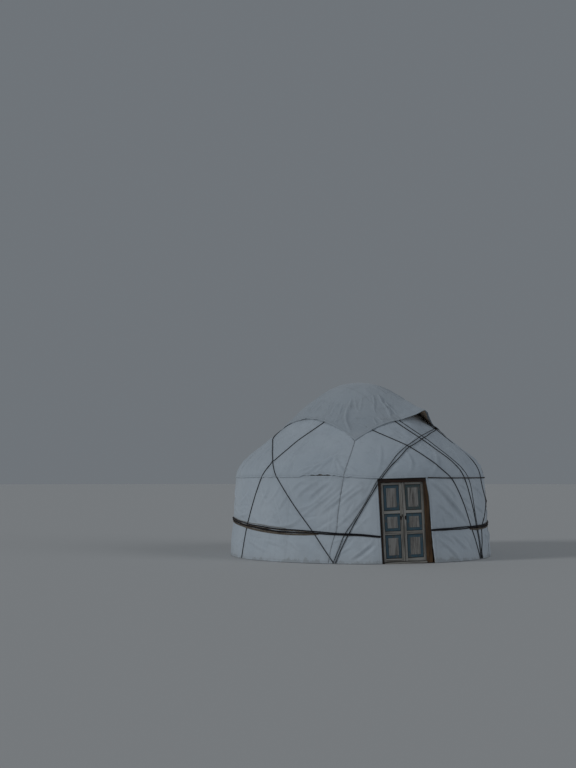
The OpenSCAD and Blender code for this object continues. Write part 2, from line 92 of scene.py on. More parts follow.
def z_of(s):
    return np.interp(s, SF, ZF)


def r_of(s):
    return np.interp(s, SF, RF)


def place(b, s, off=0.0):
    """The point at a bearing and a distance up the profile, off the outline along its normal."""
    s = np.asarray(s, float)
    nr, nz = np.interp(s, SF, NR), np.interp(s, SF, NZ)
    over = np.maximum(s - SF[-1], 0)
    r = np.interp(s, SF, RF) - over * 0.775 + off * nr
    z = np.interp(s, SF, ZF) + over * 0.632 + off * nz
    a = np.radians(b)
    return np.stack([r * np.sin(a), -r * np.cos(a), z + 0 * a], -1)


def out_of(b, s):
    nr, nz = np.interp(s, SF, NR), np.interp(s, SF, NZ)
    a = np.radians(b)
    return np.stack([nr * np.sin(a), -nr * np.cos(a), nz + 0 * a], -1)


def step(x, lo, hi):
    t = np.clip((np.asarray(x, float) - lo) / (hi - lo), 0, 1)
    return t * t * (3 - 2 * t)


def spline(st, n):
    st = np.asarray(st, float)
    out = []
    for k in range(len(st) - 1):
        a, b, c, d = st[max(k - 1, 0)], st[k], st[k + 1], st[min(k + 2, len(st) - 1)]
        for i in range(n):
            t = i / n
            out.append(0.5 * (2 * b + (c - a) * t + (2 * a - 5 * b + 4 * c - d) * t * t + (3 * b - a - 3 * c + d) * t**3))
    out.append(st[-1])
    return np.array(out)


# the door leans, so it is made upright and leaned together
LA, LB = math.radians(-2.5), math.radians(-1.6)
RX = np.array([[1, 0, 0], [0, math.cos(LA), -math.sin(LA)], [0, math.sin(LA), math.cos(LA)]])
RY = np.array([[math.cos(LB), 0, math.sin(LB)], [0, 1, 0], [-math.sin(LB), 0, math.cos(LB)]])
LEAN = RY @ RX
DOOR_AT = np.array([0.02, -2.388, 0.0])


def lean(p):
    return np.asarray(p, float) @ LEAN.T + DOOR_AT


def waves(b, s, seed, n, lo, hi, a0=0.0, a1=180.0):
    """A smooth random relief made of n waves of lengths lo to hi, running at angles a0 to a1 from level; about -1 to 1."""
    g = np.random.default_rng(seed)
    total = 0.0
    for _ in range(n):
        lam = lo * (hi / lo) ** g.random()
        ang = math.radians(a0 + (a1 - a0) * g.random())
        k = round(2 * math.pi * math.cos(ang) / lam * 2.3)
        m = 2 * math.pi * math.sin(ang) / lam
        total = total + np.sin(np.radians(b) * k + s * m + 2 * math.pi * g.random())
    return total / math.sqrt(n) * 1.1


# ---------------------------------------------------------------- ropes and belt: [bearing, height, stand-off]
ROPE = {
    "a": [[-47.6, 2440, 12], [-56.7, 2156, 12], [-60.4, 1900, 14], [-62.7, 1738, 27], [-67, 1460, 12], [-71.6, 1070, 8],
          [-75.6, 670, 5.5], [-78.1, 330, 8], [-79.6, 14, 8]],
    "b": [[-102.5, 2300, 12], [-92.4, 2203, 12], [-79.5, 2080, 12], [-69.8, 1922, 12], [-62.8, 1738, 12], [-55.9, 1410, 11.5],
          [-47.5, 990, 8], [-39.2, 580, 5.5], [-33.8, 270, 8], [-29.4, 14, 8]],
    "c1": [[58, 2363, 12], [49.5, 2331, 12], [38.1, 2283, 14], [29.1, 2218, 24], [21, 2146, 27], [9.6, 2015, 27], [3.8, 1912, 18],
           [-5, 1666, 14], [-9.7, 1450, 25], [-10.9, 1380, 25], [-13.6, 1200, 9], [-17.2, 960, 8], [-22.7, 560, 5.5], [-26.4, 250, 8], [-28.6, 14, 8]],
    "c2": [[56, 2384, 12], [47.3, 2346, 12], [37, 2303, 14], [27.3, 2243, 24], [19.2, 2171, 27], [7.5, 2023, 27], [-1, 1852, 16],
           [-7.2, 1613, 14], [-10.6, 1450, 31], [-12, 1380, 25], [-14.6, 1180, 9], [-18, 940, 8], [-22.1, 681, 6], [-25, 500, 5.5],
           [-27.6, 230, 8], [-29.6, 14, 8]],
    "d1": [[-9.2, 2294, 12], [1.2, 2140, 12], [8.5, 2005, 12], [14.5, 1806, 12], [19.7, 1614, 12], [25.8, 1400, 11.5],
           [31.8, 1011, 8], [36.2, 620, 5.5], [39.6, 361, 8], [43.2, 14, 8]],
    "e1": [[11.1, 2455, 12], [20.9, 2160, 12], [26.1, 1905, 12], [29.3, 1740, 12], [35, 1370, 11.5], [39.6, 904, 8],
           [41.9, 560, 5.5], [43.4, 283, 8], [43.8, 14, 8]],
    "e2": [[16, 2469, 12], [25.2, 2160, 12], [29.4, 1881, 12], [32.2, 1714, 12], [38.3, 1380, 11.5], [40.6, 962, 8],
           [42.2, 560, 5.5], [43.9, 283, 8], [44.4, 14, 8]],
    "f": [[58, 2330, 12], [56.5, 2100, 12], [54.5, 1850, 12], [52.5, 1650, 12], [52, 1480, 12], [54.5, 1300, 11], [58, 1160, 8],
          [62.5, 1010, 8], [68, 800, 6.5], [73, 600, 5.5], [77, 330, 8], [80, 14, 8]],
    "g": [[92.5, 2430, 27], [88, 2200, 29], [84.5, 2050, 19], [81, 1900, 12], [75.5, 1640, 12], [71, 1400, 11.5], [65, 1140, 8],
          [58.5, 900, 8], [52, 710, 6.5], [48, 570, 5.5], [47.3, 430, 7], [46.8, 290, 8], [45.4, 150, 8], [45, 14, 8]],
}
C_BACK = [[46, 2400, 12], [42, 2330, 12]] + ROPE["c1"][2:]
THIN = {"c2": 0.0062, "e2": 0.0058}
TIE = [[-21.6, 2072, 11], [-23.8, 1753, 10], [-25.4, 1520, 10], [-26.5, 1240, 8], [-27.7, 880, 8], [-28.3, 600, 5.5],
       [-29.4, 448, 5.5], [-31, 185, 7], [-31.6, 14, 8]]
EAVE_F = [[11.5, 1466, 10.5], [20, 1460, 10.5], [38, 1459, 10.5], [67, 1459, 10.5], [95.9, 1460, 10.5]]
EAVE_B = [[96.1, 1460, 10.5], [122, 1460, 10.5], [149, 1460, 10.5], [176, 1460, 10.5]]
BELT_L = [[-10.5, 455, 46], [-20, 490, 54], [-29, 498, 62], [-40, 518, 84], [-56, 536, 104], [-72, 588, 108],
          [-96, 660, 90], [-120, 668, 70], [-150, 664, 58], [-179.9, 660, 52]]
BELT_R = [[11.7, 554, 40], [16, 560, 44], [23, 565, 56], [30, 567, 72], [40, 574, 88], [49, 576, 88], [60, 592, 82], [80, 625, 70],
          [110, 650, 60], [145, 656, 54], [179.9, 659, 52]]

# the crown flap's outline: a square sheet that hangs from the crown; runs along it against radius and height
FPA = np.array([[0, 3.285], [0.3, 3.25], [0.56, 3.15], [0.78, 3.01], [1.0, 2.82], [1.2, roof_z(1.2) + 0.036], [1.3, roof_z(1.3) + 0.029],
                [1.46, roof_z(1.46) + 0.022], [1.7, roof_z(1.7) + 0.019], [2.0, roof_z(2.0) + 0.019]])
RUN = np.concatenate([[0], np.cumsum(np.hypot(*np.diff(FPA, axis=0).T))])
SIDE, TURN, SHIFT, LIFT = 3.07, -22.0, 0.045, 0.263


def on_flap(b, s):
    """Where a point of the roof lies under the flap: its (u, v) on the sheet, both within -1 to 1 if it is covered."""
    run = np.interp(r_of(s), FPA[:, 0], RUN)
    a = np.radians(np.asarray(b, float) - TURN - 135)
    x, y = run * np.cos(a), run * np.sin(a)
    return x / (SIDE / 2), (y + SHIFT / 2) / (SIDE / 2 + SHIFT / 2)


class Line:
    """A line over the covers: bearings, distances up the profile and stand-offs."""

    def __init__(self, name, st, r, turn=0.0, n=8, tuck=0.91):
        w = spline(st, n)
        self.name, self.r = name, r
        b, s = list(w[:, 0] + turn), list(s_of(w[:, 1] / 1000))
        if tuck:  # it runs on under the flap until it is well covered
            p = place(np.array(b[:2]), np.array(s[:2]))
            ln = float(np.linalg.norm(p[0] - p[1]))
            db, ds = (b[0] - b[1]) / ln * 0.03, (s[0] - s[1]) / ln * 0.03
            for _ in range(30):
                u, v = on_flap(b[0], s[0])
                if max(abs(u), abs(v)) < tuck:
                    break
                b.insert(0, b[0] + db)
                s.insert(0, min(s[0] + max(ds, 0.006), float(SF[-1]) - 0.02))
        self.b, self.s = np.array(b), np.array(s)
        self.z = z_of(self.s)
        self.p = place(self.b, self.s)


def wrap(b):
    return (np.asarray(b) + 180) % 360 - 180


lines = [Line(k, v, THIN.get(k, 0.0079)) for k, v in ROPE.items()]
lines += [Line(k + "_back", C_BACK if k == "c1" else ROPE[k], 0.0075, 180) for k in ("a", "b", "c1", "d1", "e1")]
ties = [Line("tie_%d" % t, ([[-20.6, 2215, 11]] if t == 270 else []) + TIE, 0.0035, t, tuck=0.96) for t in (0, 90, 180, 270)]
eaves = [Line("eave_front", EAVE_F, 0.0105, tuck=0), Line("eave_back", EAVE_B, 0.0105, tuck=0)]

belt_w = np.concatenate([spline(BELT_L[::-1], 8), spline(BELT_R, 8)])
BELT_B, BELT_Z, BELT_H = belt_w[:, 0], belt_w[:, 1] / 1000, belt_w[:, 2] / 2000


def nearest(P, N, L, reach=0.45):
    """For points P: distance from the polyline L, the side of it they are on, and how far along it (metres)."""
    n = len(P)
    dist, side, along = np.full(n, 9.0), np.zeros(n), np.zeros(n)
    idx = np.nonzero(np.all((P > L.min(0) - reach) & (P < L.max(0) + reach), axis=1))[0]
    if not len(idx):
        return dist, side, along
    Q, M = P[idx], N[idx]
    best, sd, al = np.full(len(Q), 9.0), np.zeros(len(Q)), np.zeros(len(Q))
    seg = np.diff(L, axis=0)
    ln = np.maximum(np.linalg.norm(seg, axis=1), 1e-9)
    cum = np.concatenate([[0], np.cumsum(ln)])
    for k in range(len(seg)):
        w = Q - L[k]
        t = np.clip(w @ seg[k] / ln[k] ** 2, 0, 1)
        v = w - t[:, None] * seg[k]
        d = np.sqrt((v * v).sum(1))
        hit = d < best
        if hit.any():
            best = np.where(hit, d, best)
            al = np.where(hit, cum[k] + t * ln[k], al)
            sd = np.where(hit, np.sign((np.cross(seg[k], v) * M).sum(1)), sd)
    dist[idx], side[idx], along[idx] = best, sd, al
    return dist, side, along


# ---------------------------------------------------------------- creases: ([bearing, height m]..., rise mm, half width mm)
WALL_CREASES = [
    ([[-49.3, 1.24], [-45.4, 1.383], [-41.9, 1.43]], 5, 34), ([[-47.6, 1.08], [-42.4, 1.286], [-36.2, 1.44]], 6, 36),
    ([[-41.6, 1.08], [-36.1, 1.288], [-30.7, 1.43]], 6.5, 34), ([[-46, 0.93], [-40.7, 0.986], [-36.6, 1.094], [-32.3, 1.256], [-29.5, 1.40]], 6.5, 34),
    ([[-45, 0.78], [-43.2, 0.823], [-38.2, 0.975], [-33.3, 1.117], [-29.1, 1.256], [-26.5, 1.38]], 7, 34),
    ([[-35.9, 0.902], [-30.6, 1.095], [-25.9, 1.257], [-23.2, 1.37]], 6.5, 32),
    ([[-36.5, 0.82], [-33.3, 0.924], [-27.4, 1.115], [-23.5, 1.238], [-19, 1.385]], 9, 34),
    ([[-29, 0.93], [-26.3, 1.038], [-22.1, 1.182], [-16.8, 1.335]], 6.5, 30), ([[-24, 0.80], [-21, 0.93], [-17.5, 1.08], [-14.5, 1.22]], 4, 26),
    ([[-38, 0.57], [-32.6, 0.701], [-29, 0.80]], -5, 26), ([[-43, 0.775], [-40, 0.79], [-36.5, 0.825]], -4, 24),
    ([[-24.6, 0.83], [-23.1, 0.954], [-21.4, 1.08]], -4.5, 22), ([[-30, 0.60], [-26, 0.73], [-23, 0.85]], 4, 26),
    ([[-71.8, 0.86], [-69.4, 0.735], [-64.5, 0.655], [-58.7, 0.628], [-53.5, 0.628], [-48.7, 0.66], [-45.8, 0.735], [-43.6, 0.83]], 10, 42),
    ([[-62, 1.02], [-58, 1.17], [-55.5, 1.34]], 5, 34), ([[-68, 0.95], [-63.5, 1.18], [-62, 1.38]], 5, 36), ([[-56, 0.90], [-52.5, 1.08], [-50.5, 1.24]], 4.5, 32),
    ([[-100.4, 1.226], [-92, 1.11], [-85.4, 1.005]], 5, 34), ([[-75.6, 1.24], [-80, 1.12], [-85.4, 1.005]], 5, 34),
    ([[-88.5, 0.915], [-79.7, 0.970], [-74, 0.945]], -4.5, 26), ([[-89.5, 0.88], [-82.1, 0.831], [-77.5, 0.855]], -4.5, 26),
    ([[-85.5, 0.765], [-79.1, 0.80], [-75.6, 0.83]], 5, 28), ([[-76, 0.46], [-64.1, 0.407], [-55, 0.40]], -4, 30),
    ([[-75, 0.355], [-69, 0.286], [-63.7, 0.221], [-58, 0.14]], 6, 32), ([[-66, 0.44], [-58, 0.34], [-50, 0.27]], 5, 32),
    ([[-52, 0.44], [-47, 0.33], [-43, 0.20]], 5, 32), ([[-31, 0.36], [-27, 0.42], [-22, 0.45]], 5, 26),
    ([[-22, 0.045], [-18.1, 0.148], [-15, 0.252], [-11.8, 0.365]], -8, 24), ([[-23.5, 0.07], [-19.6, 0.185], [-16.4, 0.29], [-13, 0.41]], 6, 26),
    ([[-12.7, 0.245], [-12.7, 0.165]], -3.5, 11), ([[-29, 0.12], [-26, 0.22], [-22, 0.31]], 5, 28),
    ([[11.9, 1.46], [17.5, 1.30], [21.1, 1.163], [25.1, 0.997], [30.3, 0.817], [35.6, 0.64]], 14, 40),
    ([[13.5, 1.12], [18, 0.98], [23, 0.83], [27, 0.70]], 5, 34), ([[19, 1.40], [23.5, 1.27], [28, 1.10]], 5, 30),
    ([[22.5, 0.515], [28.3, 0.323], [33.5, 0.20]], 8, 32), ([[15.4, 0.43], [19.8, 0.288], [23.4, 0.177], [27, 0.04]], 8, 32),
    ([[30, 0.50], [33.5, 0.37], [37, 0.21]], 5, 26), ([[17, 0.52], [22, 0.40], [26, 0.29]], 4.5, 26),
    ([[29.5, 1.40], [32.5, 1.31], [36.4, 1.25]], 5, 22), ([[31, 1.14], [34, 1.09], [38.4, 1.0]], 5, 22), ([[33, 1.01], [35.3, 0.92], [39.6, 0.865]], 5, 20),
    ([[34.8, 0.87], [37.5, 0.77], [40, 0.70]], 4.5, 20), ([[40.6, 1.02], [46, 0.908], [52.5, 0.82]], 9, 28),
    ([[40, 1.36], [47, 1.24], [54, 1.12]], 6.5, 28), ([[47, 0.82], [54, 0.73], [60, 0.70]], 5, 28), ([[58, 0.98], [63, 0.84], [67, 0.72]], 5, 28),
    ([[60, 0.50], [66, 0.36], [70, 0.20]], 5.5, 30), ([[50, 0.48], [56, 0.36], [60, 0.21]], 5, 30), ([[70, 1.34], [76, 1.18], [84, 1.08]], 5.5, 32),
    ([[74, 0.98], [80, 0.90], [88, 0.88]], 5, 30), ([[84, 0.55], [90, 0.38], [94, 0.24]], 5, 30),
]
ROOF_CREASES = [
    ([[-44.6, 1.50], [-37.6, 1.68], [-31.0, 1.86]], 7, 30), ([[-38.6, 1.56], [-34.8, 1.70], [-31.2, 1.86]], 7, 27), ([[-33, 1.56], [-31.8, 1.70], [-31.0, 1.84]], -5, 22),
    ([[-24.2, 1.48], [-27.8, 1.66], [-31.2, 1.86]], 7.5, 28), ([[-29, 1.53], [-30, 1.68], [-31, 1.82]], 5, 22), ([[-47, 1.565], [-42.7, 1.642], [-37, 1.69], [-31.6, 1.745]], 6, 26),
    ([[-50.8, 1.75], [-49.8, 1.64], [-49.2, 1.54]], -4, 12), ([[-19, 1.50], [-23, 1.62], [-29, 1.73]], 4.5, 26),
    ([[-80, 1.50], [-78, 1.85], [-74, 2.2]], 5, 42), ([[-93, 1.50], [-90, 1.9], [-86, 2.3]], 5, 40), ([[-56, 1.50], [-54, 1.8], [-50, 2.15]], 4.5, 40),
    ([[-12, 1.52], [-9.5, 1.76], [-7.5, 2.05]], 5, 32), ([[2, 1.50], [5, 1.74], [4.5, 1.98]], 5, 34), ([[13, 1.50], [18, 1.70], [23, 1.95]], 5, 32),
    ([[27, 1.50], [35, 1.72], [41, 2.05]], 5, 32), ([[44, 1.52], [49, 1.80], [52, 2.1]], 5, 34), ([[66, 1.50], [64, 1.9], [62, 2.3]], 5, 40),
    ([[84, 1.50], [80, 1.9], [78, 2.25]], 5, 40), ([[-70, 1.62], [-64, 1.70], [-57, 1.69]], 5, 32), ([[58, 1.60], [66, 1.66], [74, 1.62]], 4.5, 32),
]


def crease_list():
    out = [(np.array(p), a / 1000, w / 1000) for p, a, w in WALL_CREASES + ROOF_CREASES]
    g = np.random.default_rng(41)
    # round the back the same kinds of drag folds run between the ropes, turned and mirrored
    for p, a, w in WALL_CREASES + ROOF_CREASES:
        q = np.array(p, float)
        if q[:, 0].mean() < 0:
            q[:, 0] = 180 + q[:, 0] + g.uniform(-4, 4)
        else:
            q[:, 0] = -180 + q[:, 0] + g.uniform(-4, 4)
        out.append((q, a / 1000 * g.uniform(0.7, 1.0), w / 1000))
        if g.random() < 0.45:
            q = np.array(p, float)
            q[:, 0] = -q[:, 0] + (158 if q[:, 0].mean() > 0 else -158) * 0.82
            q[:, 1] = np.clip(q[:, 1] + g.uniform(-0.05, 0.05), 0.06, 2.4)
            out.append((q, a / 1000 * g.uniform(0.5, 0.9), w / 1000))
    return out


CREASES = crease_list()


def small_creases():
    """Short drag folds that run roughly along the nearest rope, all round."""
    g = np.random.default_rng(97)
    out = []
    for _ in range(170):
        b, z = g.uniform(-180, 180), (g.uniform(0.06, 1.42) if g.random() < 0.66 else g.uniform(1.48, 2.35))
        if abs(b) < 13 and z < 1.5:
            continue
        near, slope = 1e9, 0
        for L in lines:
            k = int(np.argmin((wrap(L.b - b) / 57.3 * 2.2) ** 2 + (L.z - z) ** 2))
            d = (wrap(L.b[k] - b) / 57.3 * 2.2) ** 2 + (L.z[k] - z) ** 2
            if d < near:
                k = min(max(k, 1), len(L.b) - 2)
                near = d
                slope = math.atan2(L.z[k + 1] - L.z[k - 1], (L.b[k + 1] - L.b[k - 1]) / 57.3 * 2.2)
        ang = slope + math.radians(g.uniform(-24, 24))
        ln = g.uniform(0.22, 0.62)
        r = float(r_of(s_of(z)))
        db, dz_ = math.cos(ang) * ln / 2 / r * 57.3, math.sin(ang) * ln / 2
        lo, hi = (0.05, 1.44) if z < 1.46 else (1.48, 2.6)
        mid = [b + g.uniform(-1, 1) * 0.5, z + g.uniform(-0.015, 0.015)]
        pts = np.array([[b - db, np.clip(z - dz_, lo, hi)], mid, [b + db, np.clip(z + dz_, lo, hi)]])
        out.append((pts, g.uniform(1.2, 3.2) / 1000 * (1 if g.random() < 0.75 else -1), g.uniform(16, 27) / 1000))
    return out


CREASES += small_creases()
SEAMS = [-171, -134, -97, -51, 52, 88, 124, 160]  # bearings of the upright seams in the wall and roof covers


def under_flap(b, s):
    """1 where the crown flap lies over the roof cover."""
    u, v = on_flap(b, s)
    return 1 - step(np.maximum(np.abs(u), np.abs(v)), 0.94, 1.02)


def field(b, s, detail=True):
    """How far the covers stand off the outline, in metres, over bearing and distance up the profile."""
    b, s = np.asarray(b, float).ravel(), np.asarray(s, float).ravel()
    b = wrap(b)
    P, N = place(b, s), out_of(b, s)
    z = z_of(s)
    roofness = step(z, 1.42, 1.62)
    free, tight = np.ones(len(b)), np.ones(len(b))
    for L in lines:
        d, _, _ = nearest(P, N, L.p)
        free *= 1 - np.exp(-((d / 0.085) ** 2))
        tight *= 1 - np.exp(-((d / 0.022) ** 2))
    for L in ties:
        d, _, _ = nearest(P, N, L.p)
        free *= 1 - 0.6 * np.exp(-((d / 0.05) ** 2))
        tight *= 1 - 0.8 * np.exp(-((d / 0.016) ** 2))
    bz, bh = np.interp(b, BELT_B, BELT_Z), np.interp(b, BELT_B, BELT_H)
    db = np.maximum(np.abs(z - bz) - bh, 0)
    held = np.exp(-((db / 0.07) ** 2))
    free *= 1 - 0.92 * held
    tight *= 1 - 0.9 * np.exp(-((db / 0.02) ** 2))
    # soft bellies between what holds the cloth
    belly = 10 + 6 * waves(b, s, 3, 14, 0.7, 1.8) + 3.5 * waves(b, s, 5, 16, 0.28, 0.6, 20, 160)
    belly = np.maximum(belly, 1.5)
    D = belly * free * (1 - 0.25 * roofness)
    # the poles show through the roof cover a little
    pole = np.cos(np.radians((b - 13.4) * 360 / 9.172))
    D += roofness * 1.5 * (pole - 1) * 0.5 * free * step(z, 1.6, 1.8)
    # creases
    cr = np.zeros(len(b))
    for pts, a, w in CREASES:
        q = spline(pts, 7)
        L = place(q[:, 0], s_of(q[:, 1]))
        total = np.linalg.norm(np.diff(L, axis=0), axis=1).sum()
        d, side, al = nearest(P, N, L, reach=w * 4.5)
        hit = d < w * 4.2
        if not hit.any():
            continue
        t = al[hit] / total
        ends = np.sin(np.pi * np.clip(t, 0, 1)) ** 0.8
        x = d[hit] * side[hit]
        # a soft ridge with one side steeper, and a shallow trough beside it
        shape = np.exp(-np.abs(x / w) ** 1.7) - 0.35 * np.exp(-(((x + 1.6 * w) / (1.2 * w)) ** 2))
        cr[hit] += a * (3600 if 11 < pts[0][0] < 100 else 2600) * ends * shape
    D += cr * (0.25 + 0.75 * tight)
    if detail:
        warp_b = b + 1.1 * waves(b, s, 11, 8, 0.4, 0.9)
        warp_s = s + 0.035 * waves(b, s, 12, 8, 0.4, 0.9)
        n1 = waves(warp_b, warp_s, 21, 14, 0.13, 0.3, 25, 155)
        n2 = waves(warp_b, warp_s, 22, 16, 0.07, 0.13, 15, 165)
        n3 = waves(warp_b, warp_s, 23, 12, 0.16, 0.34, 35, 80)
        patch = 0.35 + 0.65 * step(waves(b, s, 31, 8, 0.6, 1.4), -0.5, 0.9)
        D += tight * patch * (2.3 * n1 + 0.8 * n2 + 2.4 * (np.exp(-((n3 / 0.34) ** 2)) - 0.3))
    # gathers where the roof cover's hem is drawn in
    gather = step(z, 1.43, 1.45) * (1 - step(z, 1.50, 1.60))
    ruffle = gather * (np.exp(-(((b + 34) / 10) ** 2)) + 0.5 * np.exp(-(((b - 148) / 14) ** 2)))
    D += ruffle * 5.0 * (1.2 + 0.8 * waves(b, s * 0.25, 51, 7, 0.10, 0.22, 0, 12))
    # the foot hangs in slight waves
    foot = 1 - step(z, 0.0, 0.30)
    D += foot * (3.5 + 5.0 * waves(b, s * 0.2, 61, 9, 0.3, 0.8, 0, 15)) * (0.35 + 0.65 * free)
    # doubled cloth at the seams
    for sb in SEAMS:
        x = wrap(b - sb - 0.5 * np.sin(s * 2.3 + sb)) / 57.3 * np.maximum(r_of(s), 0.7)
        D += 2.2 * np.exp(-((x / 0.018) ** 4)) - 1.6 * np.exp(-(((np.abs(x) - 0.034) / 0.018) ** 2)) * tight
    D *= 1 - 0.93 * under_flap(b, s) * step(z, 1.9, 2.1)
    # fixed beside the door
    beside = step(np.abs(b), 10.5, 14.5) + step(z, 1.5, 1.62) * (1 - step(np.abs(b), 10.5, 14.5))
    D *= 0.12 + 0.88 * beside
    D = np.where(D > 0, D, 1.6 * np.tanh(D / 1.6))
    return D / 1000


# ---------------------------------------------------------------- meshes
def make(name, co, faces, mats, smooth=True, uvs=None, points=None, slots=None, sharp=None):
    """faces is a list of integer arrays, each (n, 3) or (n, 4)."""
    me = bpy.data.meshes.new(name)
    co = np.asarray(co, np.float32)
    me.vertices.add(len(co))
    me.vertices.foreach_set("co", co.ravel())
    idx = np.concatenate([f.ravel() for f in faces]).astype(np.int32)
    counts = np.concatenate([np.full(len(f), f.shape[1]) for f in faces]).astype(np.int32)
    me.loops.add(len(idx))
    me.loops.foreach_set("vertex_index", idx)
    me.polygons.add(len(counts))
    me.polygons.foreach_set("loop_start", np.concatenate([[0], np.cumsum(counts)[:-1]]).astype(np.int32))
    me.update(calc_edges=True)
    flags = np.full(len(counts), bool(smooth))
    if sharp is not None:
        flags &= ~np.asarray(sharp, bool)
    me.polygons.foreach_set("use_smooth", flags)
    for m in mats:
        me.materials.append(m)
    if slots is not None:
        me.polygons.foreach_set("material_index", np.asarray(slots, np.int32))
    for key, uv in (uvs or {}).items():
        layer = me.uv_layers.new(name=key)
        layer.uv.foreach_set("vector", np.asarray(uv, np.float32).ravel())
    for key, val in (points or {}).items():
        at = me.attributes.new(key, "FLOAT", "POINT")
        at.data.foreach_set("value", np.asarray(val, np.float32).ravel())
    me.update()
    o = bpy.data.objects.new(name, me)
    bpy.context.scene.collection.objects.link(o)
    return o


def grid_normals(P):
    du, dv = np.zeros_like(P), np.zeros_like(P)
    du[:, 1:-1] = P[:, 2:] - P[:, :-2]
    du[:, 0], du[:, -1] = P[:, 1] - P[:, 0], P[:, -1] - P[:, -2]
    dv[1:-1] = P[2:] - P[:-2]
    dv[0], dv[-1] = P[1] - P[0], P[-1] - P[-2]
    n = np.cross(du, dv)
    return n / np.maximum(np.linalg.norm(n, axis=2, keepdims=True), 1e-12)


def cloth(name, P, flat, mats, t=0.002, blocks=1, points=None, hem=0.0012, inside=1.0):
    """A closed sheet from a grid of its outer points P[row, column], seen from outside with columns running right and rows up. flat is each
    point's place on the cloth before it was hung, in metres."""
    R, C = P.shape[:2]
    N = grid_normals(P)
    thick = np.full((R, C), t)
    if hem:
        edge = np.minimum(np.minimum(np.arange(R)[:, None], R - 1 - np.arange(R)[:, None]) * 1.0,
                          np.minimum(np.arange(C)[None, :], C - 1 - np.arange(C)[None, :]) * 1.0)
        thick = thick + hem * (edge < 2)
    Q = P - N * (thick * inside)[..., None]
    co = np.concatenate([P.reshape(-1, 3), Q.reshape(-1, 3)])
    k = np.arange(R * C).reshape(R, C)
    a, b, c, d = k[:-1, :-1].ravel(), k[:-1, 1:].ravel(), k[1:, 1:].ravel(), k[1:, :-1].ravel()
    outer = np.stack([a, b, c, d], 1)
    o = R * C
    inner = np.stack([a, d, c, b], 1) + o
    rim = []
    loop = np.concatenate([k[0, :], k[1:, -1], k[-1, -2::-1], k[-2:0:-1, 0]])
    nxt = np.roll(loop, -1)
    rim = np.stack([nxt, loop, loop + o, nxt + o], 1)
    faces = np.concatenate([outer, inner, rim])
    uv_flat = np.asarray(flat, float).reshape(-1, 2)
    uv_flat = np.concatenate([uv_flat, uv_flat + [0, 40]])[faces]
    # a map that fills the unit square: strips of the outer side, then the inner side small
    rr, cc = np.divmod(np.arange(R * C), C)
    col = np.tile(np.arange(C - 1), R - 1)
    per = (C - 1) / blocks
    blk = np.minimum((col / per).astype(int), blocks - 1)
    gap = 0.004

    def unit(fc, blk_, v0, v1):
        x = (cc[fc % o] - (blk_ * per)[:, None]) / (per + 1)
        h = (v1 - v0) / blocks
        y = v0 + blk_[:, None] * h + gap / 2 + rr[fc % o] / (R - 1) * (h - gap)
        return np.stack([gap + x * (1 - 2 * gap), y], -1)

    ring = np.arange(len(rim))
    side = np.stack([(ring + 1) / (len(ring) + 1), ring / (len(ring) + 1), ring / (len(ring) + 1), (ring + 1) / (len(ring) + 1)], 1)
    up = np.tile([0.972, 0.972, 0.978, 0.978], (len(ring), 1))
    uv_bake = np.concatenate([unit(outer, blk, 0.0, 0.84), unit(inner, blk, 0.85, 0.965), np.stack([side, up], -1)])
    pts = {kk: np.concatenate([np.ravel(vv), np.ravel(vv)]) for kk, vv in (points or {}).items()}
    flags = np.zeros(len(faces), bool)
    flags[len(outer) + len(inner):] = True
    return make(name, co, [faces], mats, uvs={"flat": uv_flat.reshape(-1, 2), "OFBake": uv_bake.reshape(-1, 2)}, points=pts, sharp=flags)


def cavity(P):
    """How hollow each point of the relief is, -1 on ridges to 1 in valleys."""
    N = grid_normals(P)
    mean = P.copy()
    mean[1:-1, 1:-1] = (P[:-2, 1:-1] + P[2:, 1:-1] + P[1:-1, :-2] + P[1:-1, 2:]) / 4
    c = ((mean - P) * N).sum(2)
    c[0], c[-1], c[:, 0], c[:, -1] = c[1], c[-2], c[:, 1], c[:, -2]
    return np.clip(c / 0.0012, -1, 1)


